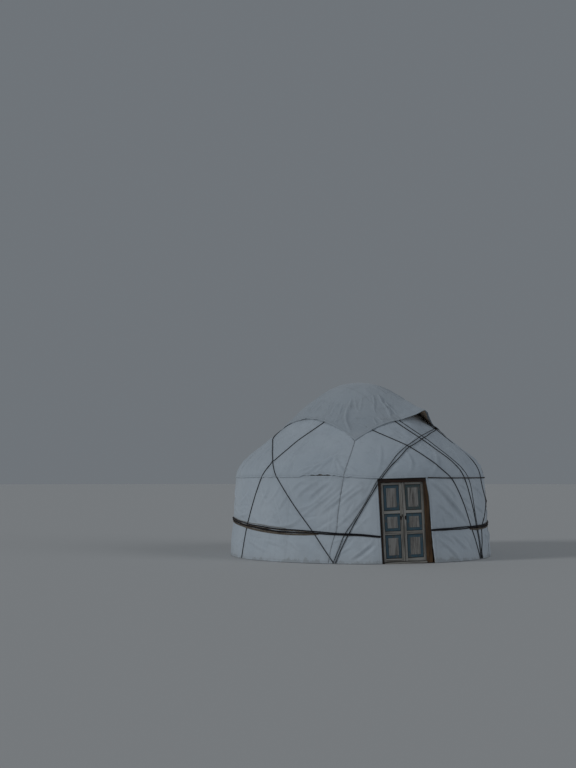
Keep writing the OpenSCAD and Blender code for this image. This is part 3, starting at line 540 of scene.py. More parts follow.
def tube(path, radius, sides=9, lobes=0, pitch=0.07, depth=0.0, up=None, flat=None, close=True, start=0):
    """Rings of a tube along a path: (points, faces, uv). A twisted rope has lobes; flat=(breadth, thickness) makes a rounded band instead."""
    path = np.asarray(path, float)
    n = len(path)
    tan = np.zeros_like(path)
    tan[1:-1] = path[2:] - path[:-2]
    tan[0], tan[-1] = path[1] - path[0], path[-1] - path[-2]
    tan /= np.maximum(np.linalg.norm(tan, axis=1, keepdims=True), 1e-12)
    side = np.cross(tan, up)
    side /= np.maximum(np.linalg.norm(side, axis=1, keepdims=True), 1e-12)
    out = np.cross(side, tan)
    run = np.concatenate([[0], np.cumsum(np.linalg.norm(np.diff(path, axis=0), axis=1))])
    a = 2 * np.pi * np.arange(sides) / sides
    r = np.broadcast_to(np.asarray(radius, float), (n,))
    if flat is None:
        A = a[None, :] + (2 * np.pi * run / pitch)[:, None] if lobes else a[None, :] + 0 * run[:, None]
        rr = r[:, None] * (1 - depth + depth * np.abs(np.cos(lobes * a / 2))[None, :]) if lobes else r[:, None] + 0 * A
        x, y = rr * np.cos(A), rr * np.sin(A)
    else:
        br, th = (np.broadcast_to(np.asarray(v, float), (n,)) for v in flat)
        cx, cy = np.cos(a), np.sin(a)
        ex = np.sign(cx) * np.abs(cx) ** 0.35
        ey = np.sign(cy) * np.abs(cy) ** 0.55
        x, y = br[:, None] / 2 * ex, th[:, None] / 2 * ey
    co = path[:, None, :] + x[..., None] * side[:, None, :] + y[..., None] * out[:, None, :]
    co = co.reshape(-1, 3)
    k = np.arange(n * sides).reshape(n, sides)
    a0, b0 = k[:-1], np.roll(k, -1, 1)[:-1]
    c0, d0 = np.roll(k, -1, 1)[1:], k[1:]
    quads = np.stack([a0, b0, c0, d0], -1).reshape(-1, 4)
    i = np.tile(np.arange(sides), n - 1)
    j = np.repeat(np.arange(n - 1), sides)
    uv = np.stack([np.stack([i / sides, run[j]], 1), np.stack([(i + 1) / sides, run[j]], 1),
                   np.stack([(i + 1) / sides, run[j + 1]], 1), np.stack([i / sides, run[j + 1]], 1)], 1)
    # closed ends
    c_lo, c_hi = len(co), len(co) + 1
    e = r[0] * 0.35
    co = np.concatenate([co, [path[0] - tan[0] * e, path[-1] + tan[-1] * e]])
    lo = np.stack([np.roll(k[0], -1), k[0], np.full(sides, c_lo)], 1)
    hi = np.stack([k[-1], np.roll(k[-1], -1), np.full(sides, c_hi)], 1)
    uv_t = np.tile([[0.1, 0.0], [0.2, 0.0], [0.15, 0.01]], (2 * sides, 1, 1))
    return co, quads + start, np.concatenate([lo, hi]) + start, uv, uv_t


class Bundle:
    """Several tubes or solids collected into one mesh."""

    def __init__(self):
        self.co, self.q, self.t, self.uq, self.ut, self.mq, self.mt, self.n = [], [], [], [], [], [], [], 0

    def add(self, co, quads, tris=None, uq=None, ut=None, mat=0):
        self.co.append(co)
        self.q.append(quads)
        self.uq.append(np.zeros((len(quads), 4, 2)) if uq is None else uq)
        self.mq.append(np.full(len(quads), mat))
        if tris is not None and len(tris):
            self.t.append(tris)
            self.ut.append(np.zeros((len(tris), 3, 2)) if ut is None else ut)
            self.mt.append(np.full(len(tris), mat))
        self.n += len(co)

    def tube(self, path, radius, mat=0, **kw):
        co, q, t, uq, ut = tube(path, radius, start=self.n, **kw)
        self.add(co, q, t, uq, ut, mat)

    def solid(self, co, quads, mat=0, uv=None):
        self.add(np.asarray(co, float), np.asarray(quads) + self.n, mat=mat, uq=uv)

    def done(self, name, mats, smooth=True, sharp_tris=True):
        faces = [np.concatenate(self.q)] + ([np.concatenate(self.t)] if self.t else [])
        uv = np.concatenate([np.concatenate(self.uq).reshape(-1, 2)] + ([np.concatenate(self.ut).reshape(-1, 2)] if self.t else []))
        slots = np.concatenate(self.mq + self.mt)
        sharp = np.concatenate([np.zeros(len(faces[0]), bool), np.ones(len(faces[1]), bool)]) if self.t and sharp_tris else None
        return make(name, np.concatenate(self.co), faces, mats, smooth=smooth, uvs={"flat": uv}, slots=slots, sharp=sharp)


def board(x0, x1, y0, y1, z0, z1, r=0.003, cut=0.03, wob=0.0008, seed=0, taper=None):
    """A timber with eased edges, cut into short lengths along its longest side so that it can be a little uneven. Returns (points, quads)."""
    lo, hi = np.array([x0, y0, z0], float), np.array([x1, y1, z1], float)
    dim = hi - lo
    ax = int(np.argmax(dim))
    u, v = [i for i in range(3) if i != ax]
    r = min(r, dim[u] / 3, dim[v] / 3)
    ring = []
    for cx, cy, a0 in ((1, 1, 0), (-1, 1, 90), (-1, -1, 180), (1, -1, 270)):
        for a in (0, 45, 90):
            t = math.radians(a0 + a)
            ring.append([cx * (dim[u] / 2 - r) + r * math.cos(t), cy * (dim[v] / 2 - r) + r * math.sin(t)])
    ring = np.array(ring)
    m = len(ring)
    n = max(2, int(dim[ax] / cut) + 1)
    L = np.concatenate([[0.0], np.linspace(r, dim[ax] - r, n), [dim[ax]]])
    g = np.random.default_rng(seed)
    ph = g.uniform(0, 6.28, (4, 6))
    co = np.zeros((len(L), m, 3))
    mid = (lo + hi) / 2
    for i, l in enumerate(L):
        k = 1.0 if 0 < i < len(L) - 1 else 1 - 2 * r / max(dim[u], dim[v]) * 0.9
        ku = (dim[u] - 2 * r * (not 0 < i < len(L) - 1)) / dim[u]
        kv = (dim[v] - 2 * r * (not 0 < i < len(L) - 1)) / dim[v]
        p = ring * [ku, kv]
        w = [sum(math.sin(l * f + ph[q][j]) / (1 + j) for j, f in enumerate((3.1, 7.3, 15.7, 31.0))) for q in range(4)]
        co[i, :, u] = mid[u] + p[:, 0] * (1 + 0) + wob * w[0] + np.sign(p[:, 0]) * wob * 0.6 * w[1]
        co[i, :, v] = mid[v] + p[:, 1] + wob * 0.35 * w[2] + np.sign(p[:, 1]) * wob * 0.25 * w[3]
        co[i, :, ax] = lo[ax] + l
    k = np.arange(len(L) * m).reshape(len(L), m)
    a, b = k[:-1], np.roll(k, -1, 1)[:-1]
    c, d = np.roll(k, -1, 1)[1:], k[1:]
    quads = np.stack([a, b, c, d], -1).reshape(-1, 4)
    flip = ax == 1
    if flip:
        quads = quads[:, ::-1]
    # end caps as strips
    caps = []
    for row, turn in ((k[0], True), (k[-1], False)):
        for i in range(m // 2 - 1):
            f = [row[i], row[i + 1], row[m - 2 - i], row[m - 1 - i]]
            caps.append(f[::-1] if turn else f)
    caps = np.array(caps)
    if flip:
        caps = caps[:, ::-1]
    return co.reshape(-1, 3), np.concatenate([quads, caps])


# ---------------------------------------------------------------- materials
class Mat:
    def __init__(self, name, rough=0.8):
        self.m = bpy.data.materials.new(name)
        self.m.use_nodes = True
        self.t = self.m.node_tree
        self.t.nodes.clear()
        self.out = self.t.nodes.new("ShaderNodeOutputMaterial")
        self.b = self.t.nodes.new("ShaderNodeBsdfPrincipled")
        self.t.links.new(self.b.outputs[0], self.out.inputs[0])
        self.b.inputs["Roughness"].default_value = rough
        co = self.t.nodes.new("ShaderNodeTexCoord")
        self.at = co.outputs["Object"]

    def put(self, sock, v):
        if isinstance(v, bpy.types.NodeSocket):
            self.t.links.new(v, sock)
        elif isinstance(v, (tuple, list)) and len(v) == 3 and sock.type == "RGBA":
            sock.default_value = (*v, 1)
        else:
            sock.default_value = v

    def uv(self, name="flat"):
        n = self.t.nodes.new("ShaderNodeUVMap")
        n.uv_map = name
        return n.outputs[0]

    def attr(self, name):
        n = self.t.nodes.new("ShaderNodeAttribute")
        n.attribute_name = name
        return n.outputs["Fac"]

    def scaled(self, v, scale, turn=(0, 0, 0), move=(0, 0, 0)):
        n = self.t.nodes.new("ShaderNodeMapping")
        self.put(n.inputs[0], v)
        n.inputs["Scale"].default_value = scale
        n.inputs["Rotation"].default_value = [math.radians(a) for a in turn]
        n.inputs["Location"].default_value = move
        return n.outputs[0]

    def split(self, v):
        n = self.t.nodes.new("ShaderNodeSeparateXYZ")
        self.put(n.inputs[0], v)
        return n.outputs

    def noise(self, v, scale=1.0, detail=3.0, rough=0.5, bend=0.0):
        n = self.t.nodes.new("ShaderNodeTexNoise")
        self.put(n.inputs["Vector"], v)
        n.inputs["Scale"].default_value = scale
        n.inputs["Detail"].default_value = detail
        n.inputs["Roughness"].default_value = rough
        n.inputs["Distortion"].default_value = bend
        return n.outputs[0]

    def cells(self, v, scale=1.0, feature="F1", out="Distance"):
        n = self.t.nodes.new("ShaderNodeTexVoronoi")
        n.feature = feature
        self.put(n.inputs["Vector"], v)
        n.inputs["Scale"].default_value = scale
        return n.outputs[out]

    def wave(self, v, scale, axis="X", bend=0.0, detail=1.0, kind="BANDS", profile="SIN"):
        n = self.t.nodes.new("ShaderNodeTexWave")
        n.wave_type = kind
        n.bands_direction = axis
        n.wave_profile = profile
        self.put(n.inputs["Vector"], v)
        n.inputs["Scale"].default_value = scale
        n.inputs["Distortion"].default_value = bend
        n.inputs["Detail"].default_value = detail
        return n.outputs["Fac"]

    def calc(self, op, a, b=0.0, c=None, clamp=False):
        n = self.t.nodes.new("ShaderNodeMath")
        n.operation = op
        n.use_clamp = clamp
        self.put(n.inputs[0], a)
        self.put(n.inputs[1], b)
        if c is not None:
            self.put(n.inputs[2], c)
        return n.outputs[0]

    def span(self, v, lo, hi, a=0.0, b=1.0, smooth=True):
        n = self.t.nodes.new("ShaderNodeMapRange")
        n.interpolation_type = "SMOOTHSTEP" if smooth else "LINEAR"
        self.put(n.inputs["Value"], v)
        n.inputs["From Min"].default_value = lo
        n.inputs["From Max"].default_value = hi
        n.inputs["To Min"].default_value = a
        n.inputs["To Max"].default_value = b
        return n.outputs["Result"]

    def mix(self, f, a, b, blend="MIX"):
        n = self.t.nodes.new("ShaderNodeMix")
        n.data_type = "RGBA"
        n.blend_type = blend
        self.put(n.inputs["Factor"], f)
        ins = [s for s in n.inputs if s.type == "RGBA"]
        self.put(ins[0], a)
        self.put(ins[1], b)
        return [s for s in n.outputs if s.type == "RGBA"][0]

    def bump(self, h, strength=1.0, dist=0.001, normal=None):
        n = self.t.nodes.new("ShaderNodeBump")
        n.inputs["Strength"].default_value = strength
        n.inputs["Distance"].default_value = dist
        self.put(n.inputs["Height"], h)
        if normal is not None:
            self.put(n.inputs["Normal"], normal)
        return n.outputs[0]

    def end(self, colour=None, rough=None, normal=None):
        if colour is not None:
            self.put(self.b.inputs["Base Color"], colour)
        if rough is not None:
            self.put(self.b.inputs["Roughness"], rough)
        if normal is not None:
            self.put(self.b.inputs["Normal"], normal)
        return self.m


def canvas(name, base, soil_and_fold_shade, dusty, dust=1.0, stain=0.5, seams=True, weave=1.0):
    """Coarse cotton duck: weave, slubs, soft crumples, weather stains and dust near the ground; painted shade in the
    folds' hollows and a painted highlight on their ridges.
    """
    m = Mat(name, 0.86)
    m.b.inputs["Sheen Weight"].default_value = 0.25
    m.b.inputs["Sheen Roughness"].default_value = 0.6
    m.b.inputs["Specular IOR Level"].default_value = 0.25
    uv = m.uv()
    at = m.at
    big = m.noise(at, 0.9, 4, 0.55, 0.4)
    mid = m.noise(at, 5.0, 5, 0.6, 0.5)
    col = m.mix(m.span(big, 0.35, 0.7), base, [c * k for c, k in zip(base, (0.90, 0.915, 0.93))])
    col = m.mix(m.calc("MULTIPLY", m.span(mid, 0.48, 0.75), 0.30), col, soil_and_fold_shade)
    # streaks that rain has drawn down the cloth
    run = m.noise(m.scaled(uv, (9.0, 0.55, 1)), 1.0, 4, 0.6, 0.2)
    col = m.mix(m.calc("MULTIPLY", m.span(run, 0.55, 0.80), stain * 0.45), col, soil_and_fold_shade)
    spots = m.noise(m.scaled(at, (14, 14, 14)), 1.0, 2, 0.5)
    col = m.mix(m.calc("MULTIPLY", m.span(spots, 0.66, 0.78), 0.18), col, soil_and_fold_shade)
    # painted shade in the hollows of the folds, and a painted highlight on their ridges
    hollow = m.attr("hollow")
    col = m.mix(m.calc("MULTIPLY", m.span(hollow, 0.2, 1.0), 0.16), col, [c * 0.85 for c in soil_and_fold_shade])
    col = m.mix(m.calc("MULTIPLY", m.span(hollow, -0.15, -1.0), 0.25), col, [min(1, c * 1.1) for c in base])
    if dust:
        z = m.split(at)[2]
        rag = m.noise(m.scaled(at, (4.5, 4.5, 2.0)), 1.0, 5, 0.65)
        h = m.calc("SUBTRACT", z, m.calc("MULTIPLY", m.calc("SUBTRACT", rag, 0.45), 0.42))
        col = m.mix(m.calc("MULTIPLY", m.span(h, 0.24, 0.0), 0.16 * dust), col, dusty)
        col = m.mix(m.calc("MULTIPLY", m.span(h, 0.035, 0.0), 0.35 * dust), col, [c * 0.7 for c in dusty])
    height = m.calc("MULTIPLY", m.attr("hem"), 0.5)
    stitch = m.attr("stitch")
    dash = m.wave(m.scaled(uv, (1, 1, 1)), 52.0, "DIAGONAL")
    col = m.mix(m.calc("MULTIPLY", m.calc("MULTIPLY", stitch, m.span(dash, 0.3, 0.5)), 0.35), col, [c * 0.6 for c in soil_and_fold_shade])
    # crumples, slubs, weave
    crumple = m.noise(m.scaled(at, (1, 1, 1)), 11.0, 4, 0.62, 0.8)
    crumple2 = m.cells(m.scaled(at, (13, 13, 9)), 1.0, "SMOOTH_F1")
    slub = m.noise(m.scaled(uv, (900, 60, 1)), 1.0, 1, 0.5)
    warp = m.wave(m.scaled(uv, (1, 1, 1)), 110.0, "X")
    weft = m.wave(m.scaled(uv, (1, 1, 1)), 110.0, "Y")
    n = m.bump(crumple, 0.55, 0.012)
    n = m.bump(crumple2, 0.22, 0.010, n)
    n = m.bump(m.calc("ADD", height, m.calc("MULTIPLY", stitch, -0.5)), 0.7, 0.004, n)
    n = m.bump(m.calc("ADD", m.calc("MULTIPLY", warp, weft), m.calc("MULTIPLY", slub, 0.5)), 0.35 * weave, 0.0006, n)
    return m.end(col, m.span(mid, 0.3, 0.7, 0.80, 0.92), n)


def felt(name, base):
    m = Mat(name, 0.95)
    m.b.inputs["Sheen Weight"].default_value = 0.5
    m.b.inputs["Sheen Roughness"].default_value = 0.8
    m.b.inputs["Specular IOR Level"].default_value = 0.2
    a = m.noise(m.at, 3.0, 5, 0.6, 0.6)
    f = m.noise(m.at, 180.0, 4, 0.7, 1.5)
    col = m.mix(m.span(a, 0.3, 0.7), base, [c * 0.72 for c in base])
    col = m.mix(m.calc("MULTIPLY", m.span(f, 0.45, 0.7), 0.4), col, [c * 0.5 for c in base])
    n = m.bump(m.noise(m.at, 40.0, 5, 0.65, 1.0), 0.5, 0.004)
    n = m.bump(f, 0.4, 0.0015, n)
    return m.end(col, 0.95, n)


def wood(name, light, dark, along=2, rough=0.78, cracks=0.6, weather=None, scale=1.0, dirt=0.4, warm=None):
    """Timber with its grain along one axis."""
    m = Mat(name, rough)
    m.b.inputs["Specular IOR Level"].default_value = 0.3
    s = [46.0 * scale] * 3
    s[along] = 2.6 * scale
    v = m.scaled(m.at, s)
    g1 = m.noise(v, 1.0, 6, 0.62, 0.7)
    s2 = [9.0 * scale] * 3
    s2[along] = 0.7 * scale
    g2 = m.noise(m.scaled(m.at, s2), 1.0, 3, 0.5, 1.4)
    ring = m.wave(m.scaled(m.at, s2), 1.2, "X" if along != 0 else "Z", 9.0, 3.0)
    col = m.mix(m.span(g1, 0.3, 0.72), light, dark)
    col = m.mix(m.calc("MULTIPLY", m.span(ring, 0.35, 0.9), 0.35), col, dark)
    if weather is not None:
        col = m.mix(m.calc("MULTIPLY", m.span(g2, 0.42, 0.68), 0.75), col, weather)
    if warm is not None:
        col = m.mix(m.calc("MULTIPLY", m.span(m.noise(m.at, 4.5, 3, 0.6, 0.5), 0.42, 0.66), 0.7), col, warm)
    s3 = [95.0 * scale] * 3
    s3[along] = 3.2 * scale
    cr = m.noise(m.scaled(m.at, s3), 1.0, 2, 0.5, 0.5)
    line = m.span(cr, 0.66, 0.72)
    col = m.mix(m.calc("MULTIPLY", line, cracks), col, [c * 0.25 for c in dark])
    blot = m.noise(m.at, 7.0, 5, 0.7, 0.6)
    col = m.mix(m.calc("MULTIPLY", m.span(blot, 0.55, 0.8), dirt), col, [c * 0.4 for c in dark])
    n = m.bump(g1, 0.5, 0.0016)
    n = m.bump(m.calc("MULTIPLY", line, -1.0), cracks, 0.0022, n)
    return m.end(col, m.span(g2, 0.3, 0.7, rough - 0.08, rough + 0.1), n)


def painted(name, paint, under, along=2, worn=0.5, streak=1.0):
    """Old flat paint over wood, rubbed through at the grain."""
    m = Mat(name, 0.62)
    m.b.inputs["Specular IOR Level"].default_value = 0.35
    s = [52.0] * 3
    s[along] = 3.0
    g = m.noise(m.scaled(m.at, s), 1.0, 5, 0.65, 0.6)
    patch = m.noise(m.at, 16.0, 5, 0.62, 0.5)
    tone = m.noise(m.at, 5.0, 4, 0.6, 0.4)
    col = m.mix(m.span(tone, 0.35, 0.68), paint, [paint[0] * 1.35, paint[1] * 1.15, paint[2] * 1.05])
    col = m.mix(m.calc("MULTIPLY", m.span(m.noise(m.at, 30.0, 3, 0.6), 0.5, 0.75), 0.4), col, [c * 0.55 for c in paint])
    thin = m.calc("ADD", m.calc("MULTIPLY", g, 0.55), m.calc("MULTIPLY", patch, 0.55))
    wear = m.span(thin, 0.66 - 0.16 * worn, 0.74 - 0.12 * worn)
    bare = m.mix(m.span(g, 0.35, 0.7), under, [c * 0.5 for c in under])
    col = m.mix(m.calc("MULTIPLY", wear, 0.9), col, bare)
    n = m.bump(g, 0.35, 0.0012)
    n = m.bump(m.calc("MULTIPLY", wear, -1.0), 0.5, 0.0007, n)
    return m.end(col, m.span(wear, 0, 1, 0.55, 0.82), n)


def rope_mat(name, base, dark):
    """Laid rope of wool and hair: strands and stray fibres."""
    m = Mat(name, 0.9)
    m.b.inputs["Sheen Weight"].default_value = 0.04
    m.b.inputs["Specular IOR Level"].default_value = 0.2
    uv = m.uv()
    fib = m.wave(m.scaled(uv, (3.0, 14.0, 1), (0, 0, 0)), 7.0, "DIAGONAL", 1.2, 2.0)
    a = m.noise(m.at, 9.0, 4, 0.6, 0.4)
    f = m.noise(m.at, 260.0, 3, 0.7, 0.6)
    col = m.mix(m.span(a, 0.35, 0.7), base, dark)
    col = m.mix(m.calc("MULTIPLY", m.span(f, 0.5, 0.75), 0.4), col, [min(1, c * 1.7) for c in base])
    col = m.mix(m.calc("MULTIPLY", m.span(fib, 0.5, 0.1), 0.4), col, [c * 0.5 for c in dark])
    n = m.bump(fib, 0.5, 0.0012)
    n = m.bump(f, 0.5, 0.0006, n)
    return m.end(col, 0.9, n)


def band_mat(name, base, second, dark):
    """Woven wool band: ribs across, lengthwise stripes."""
    m = Mat(name, 0.92)
    m.b.inputs["Sheen Weight"].default_value = 0.04
    m.b.inputs["Specular IOR Level"].default_value = 0.2
    uv = m.uv()
    rib = m.wave(uv, 60.0, "Y", 0.6, 1.0)
    stripe = m.wave(m.scaled(uv, (1, 0, 0)), 3.2, "X", 0.0, 0.0)
    a = m.noise(m.at, 8.0, 4, 0.6, 0.4)
    f = m.noise(m.at, 220.0, 3, 0.7, 0.6)
    col = m.mix(m.span(stripe, 0.55, 0.75), base, second)
    col = m.mix(m.span(a, 0.4, 0.72), col, dark)
    col = m.mix(m.calc("MULTIPLY", m.span(f, 0.5, 0.75), 0.35), col, [min(1, c * 1.8) for c in second])
    n = m.bump(rib, 0.6, 0.0010)
    n = m.bump(f, 0.4, 0.0006, n)
    return m.end(col, 0.92, n)


def iron(name):
    """Forged iron, brown with old rust."""
    m = Mat(name, 0.55)
    m.b.inputs["Metallic"].default_value = 0.55
    a = m.noise(m.at, 60.0, 5, 0.65, 0.4)
    f = m.noise(m.at, 420.0, 3, 0.6)
    col = m.mix(m.span(a, 0.42, 0.64), (0.028, 0.026, 0.026), (0.055, 0.030, 0.019))
    col = m.mix(m.calc("MULTIPLY", m.span(f, 0.5, 0.7), 0.4), col, (0.03, 0.026, 0.024))
    return m.end(col, m.span(a, 0.35, 0.7, 0.42, 0.8), m.bump(a, 0.4, 0.0012, m.bump(f, 0.3, 0.0004)))


M_WALL = canvas("wall_canvas_duck", (0.50, 0.56, 0.615), (0.36, 0.40, 0.44), (0.32, 0.325, 0.315))
# the roof cloth is the wall cloth made a little darker: painted shade, so the dome lies darker than the walls
M_ROOF = canvas("roof_canvas_duck", (0.465, 0.525, 0.58), (0.32, 0.36, 0.40), (0.33, 0.35, 0.37), dust=0.0, stain=0.8)
# the flap's cloth is darker than the roof's: partly its own dirtier cloth, partly painted shade like the roof's
M_FLAP = canvas("flap_canvas_duck", (0.385, 0.435, 0.480), (0.25, 0.28, 0.305), (0.3, 0.31, 0.33), dust=0.0, stain=0.5)
# the lining's brown is brightened: painted light for the glow through the cloth from behind
M_UNDER = canvas("flap_lining_painted_glow", (0.60, 0.41, 0.25), (0.42, 0.28, 0.17), (0.38, 0.27, 0.17), dust=0.0, stain=0.2)
M_FELT = felt("pressed_felt", (0.36, 0.315, 0.26))
M_SLAT = wood("lattice_willow", (0.36, 0.235, 0.13), (0.20, 0.115, 0.06), 2, 0.7, 0.4, scale=1.2)
M_POLE = wood("pole_willow", (0.37, 0.235, 0.125), (0.20, 0.11, 0.055), 2, 0.65, 0.4, scale=1.2)
M_CROWN = wood("crown_birch", (0.20, 0.105, 0.05), (0.10, 0.05, 0.026), 0, 0.6, 0.4)
M_JAMB = wood("frame_timber_dark", (0.028, 0.018, 0.013), (0.012, 0.010, 0.008), 2, 0.8, 0.9, weather=(0.066, 0.038, 0.024), dirt=0.5)
M_JAMB_R = wood("frame_timber_warm", (0.075, 0.039, 0.017), (0.018, 0.011, 0.007), 2, 0.8, 1.4, weather=(0.120, 0.068, 0.032), dirt=0.5)
M_LINTEL = wood("frame_timber_level", (0.038, 0.017, 0.010), (0.013, 0.009, 0.007), 0, 0.8, 1.0, weather=(0.070, 0.032, 0.018), dirt=0.5)
GREY, GREYD = (0.305, 0.292, 0.265), (0.105, 0.098, 0.088)
M_STILE = wood("leaf_timber_upright", GREY, GREYD, 2, 0.85, 1.0, weather=(0.385, 0.375, 0.35), dirt=0.5)
M_RAIL = wood("leaf_timber_level", GREY, GREYD, 0, 0.85, 1.0, weather=(0.385, 0.375, 0.35), dirt=0.5)
M_FIELD = wood("panel_timber", (0.275, 0.263, 0.247), (0.095, 0.089, 0.082), 2, 0.88, 1.2, weather=(0.325, 0.317, 0.303), dirt=0.45)
M_BLUE = painted("panel_paint_blue", (0.034, 0.085, 0.122), (0.130, 0.133, 0.128), 2, 0.74)
M_TEAL = painted("panel_paint_teal", (0.040, 0.076, 0.087), (0.130, 0.133, 0.128), 2, 0.92)
# near-black colour for the recess round each panel: painted shadow under the frame's edge
M_GROOVE = wood("panel_groove_painted_shadow", (0.012, 0.012, 0.013), (0.008, 0.008, 0.009), 2, 0.9, 0.5, weather=(0.03, 0.03, 0.03), dirt=0.3)
M_ROPE = rope_mat("black_rope", (0.030, 0.028, 0.029), (0.013, 0.012, 0.013))
M_ROPE_B = rope_mat("brown_rope", (0.052, 0.034, 0.023), (0.020, 0.015, 0.012))
M_ROPE_N = rope_mat("blue_black_rope", (0.024, 0.024, 0.031), (0.012, 0.012, 0.016))
M_CORD = rope_mat("pale_cord", (0.33, 0.34, 0.35), (0.20, 0.21, 0.22))
M_CORD_T = rope_mat("tan_cord", (0.24, 0.185, 0.13), (0.12, 0.09, 0.062))
M_BAND = band_mat("woven_band_dark", (0.020, 0.018, 0.021), (0.036, 0.030, 0.029), (0.012, 0.011, 0.014))
M_BAND_T = band_mat("woven_band_tan", (0.175, 0.15, 0.122), (0.105, 0.088, 0.07), (0.075, 0.063, 0.052))
M_IRON = iron("forged_iron")
M_THONG = rope_mat("rawhide_thong", (0.22, 0.15, 0.09), (0.10, 0.065, 0.04))


# ---------------------------------------------------------------- camera, floor, light
scene = bpy.context.scene
cam_data = bpy.data.cameras.new("camera")
cam_data.sensor_fit = "AUTO"
cam_data.sensor_width = 36
cam_data.lens = 53.906
cam_data.clip_end = 500
cam = bpy.data.objects.new("camera", cam_data)
scene.collection.objects.link(cam)
cam.location = (-7.2276, -20.9905, 1.55)
yaw, pitch = math.radians(15.47), math.radians(4.42)
look = Vector((math.sin(yaw) * math.cos(pitch), math.cos(yaw) * math.cos(pitch), math.sin(pitch)))
cam.rotation_mode = "QUATERNION"
cam.rotation_quaternion = look.to_track_quat("-Z", "Y")
scene.camera = cam

n_f = 96
ang = np.linspace(0, 2 * np.pi, n_f, endpoint=False)
rings = [0.0, 6.0, 14.0, 40.0, 140.0]
fco = [[0, 0, -0.0005]] + [[r * math.cos(t), r * math.sin(t), -0.0005] for r in rings[1:] for t in ang]
ftri = np.array([[0, 1 + i, 1 + (i + 1) % n_f] for i in range(n_f)])
fq = np.array([[1 + k * n_f + i, 1 + (k + 1) * n_f + i, 1 + (k + 1) * n_f + (i + 1) % n_f, 1 + k * n_f + (i + 1) % n_f] for k in range(3) for i in range(n_f)])
mf = Mat("pale_floor", 0.9)
mf.b.inputs["Specular IOR Level"].default_value = 0.1
M_FLOOR = mf.end((0.62, 0.62, 0.615), None, None)
floor = make("floor", fco, [fq, ftri], [M_FLOOR], smooth=False)

world = bpy.data.worlds.new("studio")
scene.world = world
world.use_nodes = True
wt = world.node_tree
wt.nodes["Background"].inputs[0].default_value = (0.86, 0.95, 1.04, 1)
wt.nodes["Background"].inputs[1].default_value = 0.185


def sun(name, az, el, power, angle, colour=(1, 1, 1)):
    d = bpy.data.lights.new(name, "SUN")
    d.energy, d.angle, d.color = power, math.radians(angle), colour
    o = bpy.data.objects.new(name, d)
    scene.collection.objects.link(o)
    a, e = math.radians(az), math.radians(el)
    src = Vector((math.sin(a) * math.cos(e), -math.cos(a) * math.cos(e), math.sin(e)))
    o.rotation_mode = "QUATERNION"
    o.rotation_quaternion = src.to_track_quat("Z", "Y")
    return o


sun("key", -80, 18, 0.84, 14, (0.97, 0.99, 1.0))
sun("fill", 44, 24, 0.41, 36, (0.95, 0.98, 1.02))

scene.view_settings.view_transform = "Standard"
scene.view_settings.look = "None"

# ---------------------------------------------------------------- wall covers
S15, S145, S1 = float(s_of(1.5)), float(s_of(1.45)), float(s_of(0.002))


def door_edge(z, side, gap):
    """Bearing at which a cover stops beside the door frame, which leans."""
    zz = np.asarray(z, float)
    x = side * (0.435 + gap) * math.cos(LB) + zz * math.sin(LB) + DOOR_AT[0]
    r = r_of(s_of(np.minimum(zz, 1.9)))
    return np.degrees(np.arcsin(np.clip(x / r, -1, 1)))


def wall_grid(b_edge, b_far, n_c, s0, s1, n_r, sign):
    """Rows up, columns to the right seen from outside. b_edge(z) is the cover's edge at the door."""
    s = np.linspace(s0, s1, n_r)
    z = z_of(s)
    t = np.linspace(0, 1, n_c)
    e = b_edge(z)[:, None]
    B = e + (b_far - e) * t[None, :]
    S = np.repeat(s[:, None], n_c, 1)
    if sign < 0:
        B = B[:, ::-1]
    return B, S


def marks(B, S, P, edges):
    """hollow, hem and stitch attributes of a cover."""
    R, C = B.shape
    run_c = np.concatenate([np.zeros((R, 1)), np.cumsum(np.linalg.norm(np.diff(P, axis=1), axis=2), axis=1)], 1)
    run_r = np.concatenate([np.zeros((1, C)), np.cumsum(np.linalg.norm(np.diff(P, axis=0), axis=2), axis=0)], 0)
    d = np.full((R, C), 9.0)
    if "bottom" in edges:
        d = np.minimum(d, run_r)
    if "top" in edges:
        d = np.minimum(d, run_r[-1:] - run_r)
    if "left" in edges:
        d = np.minimum(d, run_c)
    if "right" in edges:
        d = np.minimum(d, run_c[:, -1:] - run_c)
    hem = 1 - step(d, 0.030, 0.045)
    stitch = np.exp(-(((d - 0.036) / 0.009) ** 2))
    for sb in SEAMS:
        x = wrap(B - sb - 0.5 * np.sin(S * 2.3 + sb)) / 57.3 * r_of(S)
        hem = np.maximum(hem, 0.8 * (1 - step(np.abs(x), 0.014, 0.024)))
        stitch = np.maximum(stitch, 0.7 * np.exp(-(((np.abs(x) - 0.012) / 0.007) ** 2)))
    return {"hollow": cavity(P), "hem": hem, "stitch": stitch}


def flat_of(B, S, mid_b):
    return np.stack([np.radians(B - mid_b) * 2.40, S], -1)


def spread(z):
    """How far the right jamb spreads outward, more towards the ground."""
    return np.interp(z, [0, 0.30, 0.70, 1.15, 1.39], [0.066, 0.060, 0.054, 0.043, 0.005])


def wedge_gap(z):
    """The right cover stops along the jamb's outer edge and stands off it a little at the ground."""
    return 0.004 + spread(z) + 0.016 * (1 - step(z, 0.02, 0.35))


def left_edge(z):
    return door_edge(z, -1, 0.006)


def right_edge(z):
    return door_edge(z, 1, wedge_gap(z))


